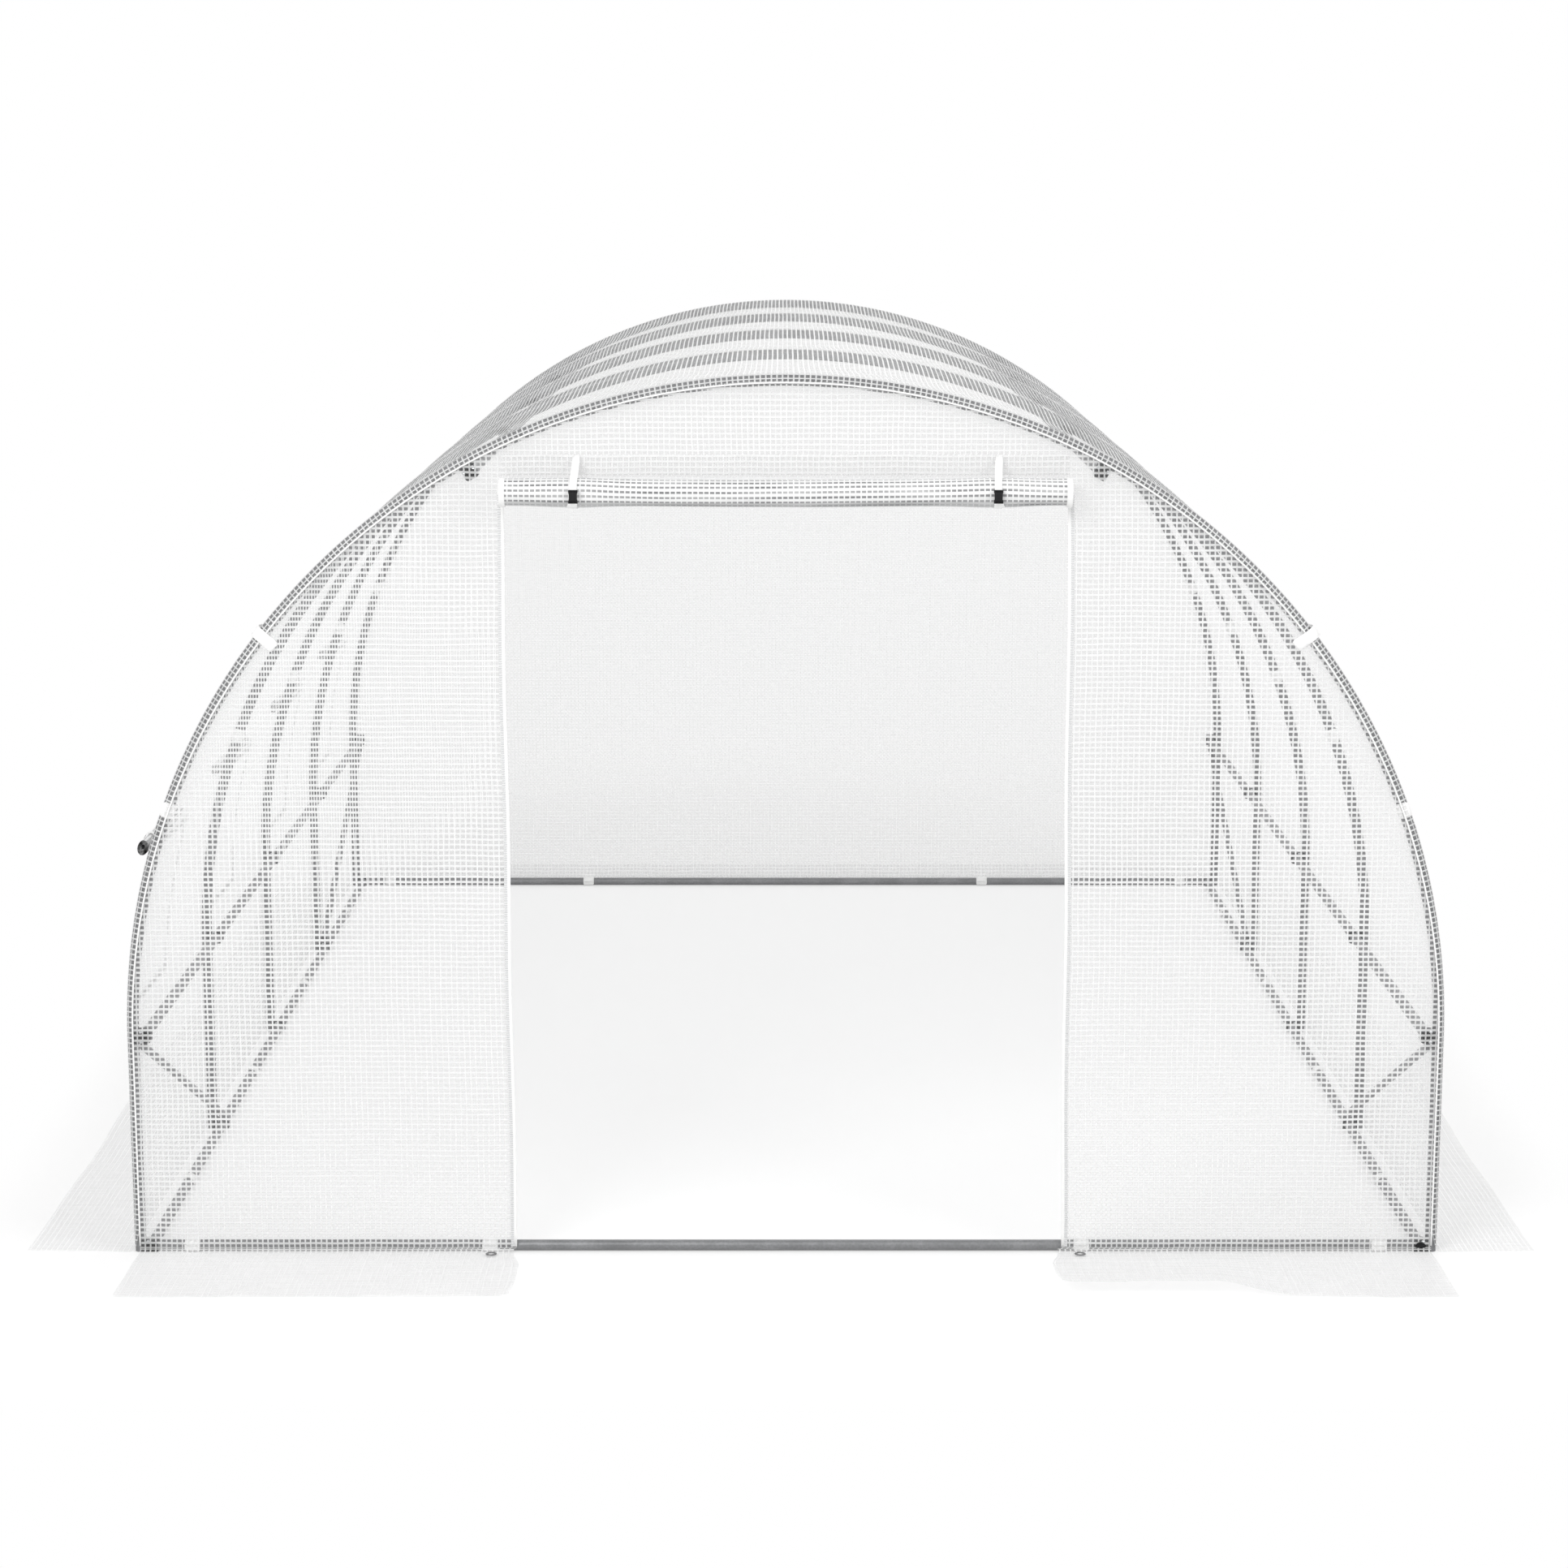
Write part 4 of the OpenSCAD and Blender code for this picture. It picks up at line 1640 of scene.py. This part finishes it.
def gable_strap():
    """The strap of a gable tie: over the cover and the end hoop, with its tail down the gable.

    +X points outwards.
    """
    bend = TUBE_R + 0.0072
    path = [(bend - 0.0052, 0.052, 0), (bend - 0.0028, 0.028, 0), (bend - 0.001, 0.012, 0)]
    for k in range(9):
        turn = math.radians(90 * k / 8)
        path.append((bend * math.cos(turn), -bend * math.sin(turn), 0))
    for k in range(1, 8):
        x = -0.040 * k / 7
        path.append((x, -bend - 0.0006 * math.sin(k), 0.0004 * k))
    return strap("strap", path, (0, 0, 1), 0.027, 0.0014)


class TUNNEL_OT_ties(Build, bpy.types.Operator):
    """Passes the webbing ties round the hoops and over the rails on the ground"""

    bl_idname = "tunnel.ties"
    bl_label = "Ties"

    def execute(self, context):
        angle = height_angle("hoop_ties")
        places = [arch_place(angle, y, HOOP_R, side) for side in (-1, 1) for y in HOOP_YS]
        ties = copies(hoop_tie_parts(0.036), places, "hoop_webbing")
        seat(ties, "webbing", "webbing", "hoop_ties")
        angle = height_angle("gable_ties")
        right = arch_place(angle, HOOP_YS[0], HOOP_R, 1)
        left = (
            Matrix.Translation((0, HOOP_YS[0], LEG_H))
            @ Matrix.Rotation(angle - math.pi, 4, "Y")
            @ Matrix.Translation((HOOP_R, 0, 0))
        )
        ties = []
        for place in (right, left):
            tie = joined([hoop_tie_parts(0.026), gable_strap()], "tie")
            ties.append(copies(tie, [place], "gable_webbing"))
        seat(joined(ties, "gable_webbing"), "webbing", "webbing", "gable_ties")
        self.rail_ties()
        return {"FINISHED"}

    def rail_ties(self):
        """Ties over the base rails: half way between hoops, beside the doorway and near the corners."""
        thick = bpy.context.scene.tunnel_cloth.webbing
        inner = TUBE_R + TIE_LOOSE
        over = inner + TIE_LAP
        path = [(-inner - 0.0002, 0, -TUBE_R + 0.001), (-inner, 0, -TUBE_R * 0.5)]
        for k in range(13):
            turn = math.radians(180 - 180 * k / 12)
            path.append((inner * math.cos(turn), 0, inner * math.sin(turn)))
        path += [(inner, 0, -TUBE_R * 0.5), (inner + 0.0002, 0, -TUBE_R + 0.001)]
        lap = []
        for turn in range(10, 161, 15):
            angle = math.radians(turn)
            lap.append((over * math.cos(angle), 0, over * math.sin(angle)))
        lap.append((-over * 1.12, 0, over * 0.1))
        parts = [
            strap("loop", path, (0, 1, 0), 0.036, thick),
            strap("lap", lap, (0, 1, 0), 0.033, thick),
        ]
        beside_door, near_corner = DOOR_X + 0.055, WALL_X * 0.91
        places = []
        for side in (-1, 1):
            turn = Matrix.Rotation(0 if side > 0 else math.pi, 4, "Z")
            for y in HOOP_YS[:-1]:
                places.append(Matrix.Translation((side * RAIL_R, y + BAY / 2, TUBE_R)) @ turn)
            for y in (HOOP_YS[0], HOOP_YS[-1]):
                for x in (beside_door, near_corner):
                    turn = Matrix.Rotation(math.pi / 2 * (1 if y > 0 else -1), 4, "Z")
                    places.append(Matrix.Translation((side * x, y, TUBE_R)) @ turn)
        ties = copies(joined(parts, "tie"), places, "rail_webbing")
        seat(ties, "webbing", "webbing", "rail_ties")


class TUNNEL_OT_zips(Build, bpy.types.Operator):
    """Sews a zip down both sides of the doorway: its tape and its coil"""

    bl_idname = "tunnel.zips"
    bl_label = "Zips"

    def execute(self, context):
        zs = np.linspace(0.014, DOOR_Z - 0.004, 60)
        pitch = 0.0052
        tooth = self.tooth()
        tapes, places = [], []
        for side in (-1, 1):
            edge_x = np.full_like(zs, side * DOOR_X)
            xs, ys, _, _ = panel_row(edge_x, zs, FRONT + GABLE_IN, -1, HOOP_R, True)
            path = [(x + side * 0.0062, y - 0.0012, z) for x, y, z in zip(xs, ys, zs)]
            tapes.append(strap("tape", path, (1, 0, 0), 0.0145, 0.0012, False))
            for k in range(int((zs[-1] - zs[0]) / pitch)):
                z = zs[0] + pitch * (k + 0.5)
                x, y = np.interp(z, zs, xs), np.interp(z, zs, ys)
                places.append(Matrix.Translation((x + side * 0.0096, y - 0.0018, z)))
        seat(joined(tapes, "door_zip_tapes"), "webbing", "webbing", "zip_tapes")
        seat(copies(tooth, places, "door_zip_coils"), "coil", "webbing")
        return {"FINISHED"}

    def tooth(self):
        """One turn of the zip's coil."""
        tooth = start_piece(
            bpy.ops.mesh.primitive_cube_add,
            "tooth",
            size=1,
            location=(0, -0.0005, 0),
            scale=(0.0070, 0.0012, 0.0034),
        )
        edit_mode(True)
        inset(tooth, lambda c, n: n.y < -0.9, (0.0006, 0.0004))
        edit_mode(False)
        return tooth


# The middle of a vent roll lies this far up the arch and this far out. The wall is VENT_BACK behind it
VENT_A = math.radians(16.5)
VENT_R = WALL_X + GAP + 0.0195
VENT_ROLL_R = 0.0185
VENT_BACK = 0.0188
VENT_HEM = 0.024


def on_wall(out, up):
    """The place (x, z) this far out from the middle of a vent roll and up along the left wall."""
    radial = VENT_R + out
    x = radial * math.cos(VENT_A) - up * math.sin(VENT_A)
    return -x, LEG_H + radial * math.sin(VENT_A) + up * math.cos(VENT_A)


def flattened(out):
    """How far out a place on a roll lies, since the roll lies flat against the wall."""
    return (out + VENT_BACK) * 0.68 - VENT_BACK


class TUNNEL_OT_vents(Build, bpy.types.Operator):
    """Rolls up the vent flaps on the left wall and ties each one twice"""

    bl_idname = "tunnel.vents"
    bl_label = "Vent flaps"

    def execute(self, context):
        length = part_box("vent_rolls")[1].y - HOOP_YS[3]
        flat_l = VENT["high"] - VENT["low"] + 0.05
        straps = []
        for i, hoop_y in enumerate(HOOP_YS[:-1]):
            y = steps((hoop_y + 0.006, 0.016), (hoop_y + length - 0.004, 0))
            flap = self.flap(i, y, flat_l)
            nodes = ["vent_rolls"] if i == 0 else []
            seat(flap, "vent_film", "film", *nodes)
            for share in (0.2, 0.8):
                straps.append(self.tie(y[0] + (y[-1] - y[0]) * share))
        seat(joined(straps, "vent_ties"), "webbing", "webbing")
        return {"FINISHED"}

    def flap(self, i, y, flat_l):
        """A vent flap: its upper edge sewn to the wall, and the rest wound round itself."""
        apart = math.pi * (VENT_ROLL_R**2 - ROLL_CORE**2) / flat_l
        droop = -0.003 * np.sin(np.pi * (y - y[0]) / (y[-1] - y[0]))
        wobble = 1 + 0.05 * ripple((0.6, 31.0 * y + i), (0.4, 67.0 * y + 2.0 * i))
        section = [(-VENT_BACK, VENT_HEM, 0.0), (-VENT_BACK, VENT_HEM / 2, VENT_HEM / 2)]
        for turn, r, travelled in spiral(VENT_ROLL_R, ROLL_CORE, flat_l, math.pi, apart):
            out = flattened(r * math.cos(turn) * wobble)
            up = r * math.sin(turn) * wobble + droop + 0.006
            section.append((out, up, VENT_HEM + travelled))
        places, flat = [], []
        for out, up, travelled in section:
            x, z = on_wall(out, up)
            places.append(np.stack(np.broadcast_arrays(x, y, z), axis=-1))
            flat.append(np.stack(np.broadcast_arrays(y, travelled), axis=-1))
        name = f"vent_flap_{i + 1}"
        return grid_piece(name, np.stack(places), np.stack(flat), flip=True)

    def tie(self, y):
        """A strap round a roll, from the wall above it to the wall below it."""
        r = VENT_ROLL_R * 1.06 + 0.0012
        path = []
        for k in range(19):
            turn = math.radians(172 - 320 * k / 18)
            x, z = on_wall(flattened(r * math.cos(turn)), r * math.sin(turn) + 0.004)
            path.append((x, y, z))
        return strap("tie", path, (0, 1, 0), 0.018, 0.0011)


class TUNNEL_PT_panel(bpy.types.Panel):
    """Lists the steps that build the tunnel"""

    bl_label = "Polytunnel"
    bl_idname = "TUNNEL_PT_panel"
    bl_space_type = "VIEW_3D"
    bl_region_type = "UI"
    bl_category = "Polytunnel"

    def draw(self, context):
        for group in (context.scene.tunnel_cloth, context.scene.tunnel_colours):
            box = self.layout.box()
            for name in group.__annotations__:
                box.prop(group, name)
        for operator in STEPS:
            self.layout.operator(operator.bl_idname)


STEPS = (
    TUNNEL_OT_stage,
    TUNNEL_OT_tubes,
    TUNNEL_OT_cover,
    TUNNEL_OT_gables,
    TUNNEL_OT_door,
    TUNNEL_OT_zips,
    TUNNEL_OT_ties,
    TUNNEL_OT_vents,
    TUNNEL_OT_clamps,
    TUNNEL_OT_caps,
    TUNNEL_OT_eyelets,
)
CLASSES = (TunnelCloth, TunnelColours, *STEPS, TUNNEL_PT_panel)


def register():
    for cls in CLASSES:
        bpy.utils.register_class(cls)
    bpy.types.Scene.tunnel_cloth = bpy.props.PointerProperty(type=TunnelCloth)
    bpy.types.Scene.tunnel_colours = bpy.props.PointerProperty(type=TunnelColours)


def unregister():
    del bpy.types.Scene.tunnel_colours
    del bpy.types.Scene.tunnel_cloth
    for cls in reversed(CLASSES):
        bpy.utils.unregister_class(cls)


def main():
    """Builds every piece round the frame."""
    register()
    bpy.ops.tunnel.stage()
    bpy.ops.tunnel.tubes()
    bpy.ops.tunnel.cover()
    bpy.ops.tunnel.gables()
    bpy.ops.tunnel.door()
    bpy.ops.tunnel.zips()
    bpy.ops.tunnel.ties()
    bpy.ops.tunnel.vents()
    bpy.ops.tunnel.clamps()
    bpy.ops.tunnel.caps()
    bpy.ops.tunnel.eyelets()


if __name__ == "__main__":
    main()
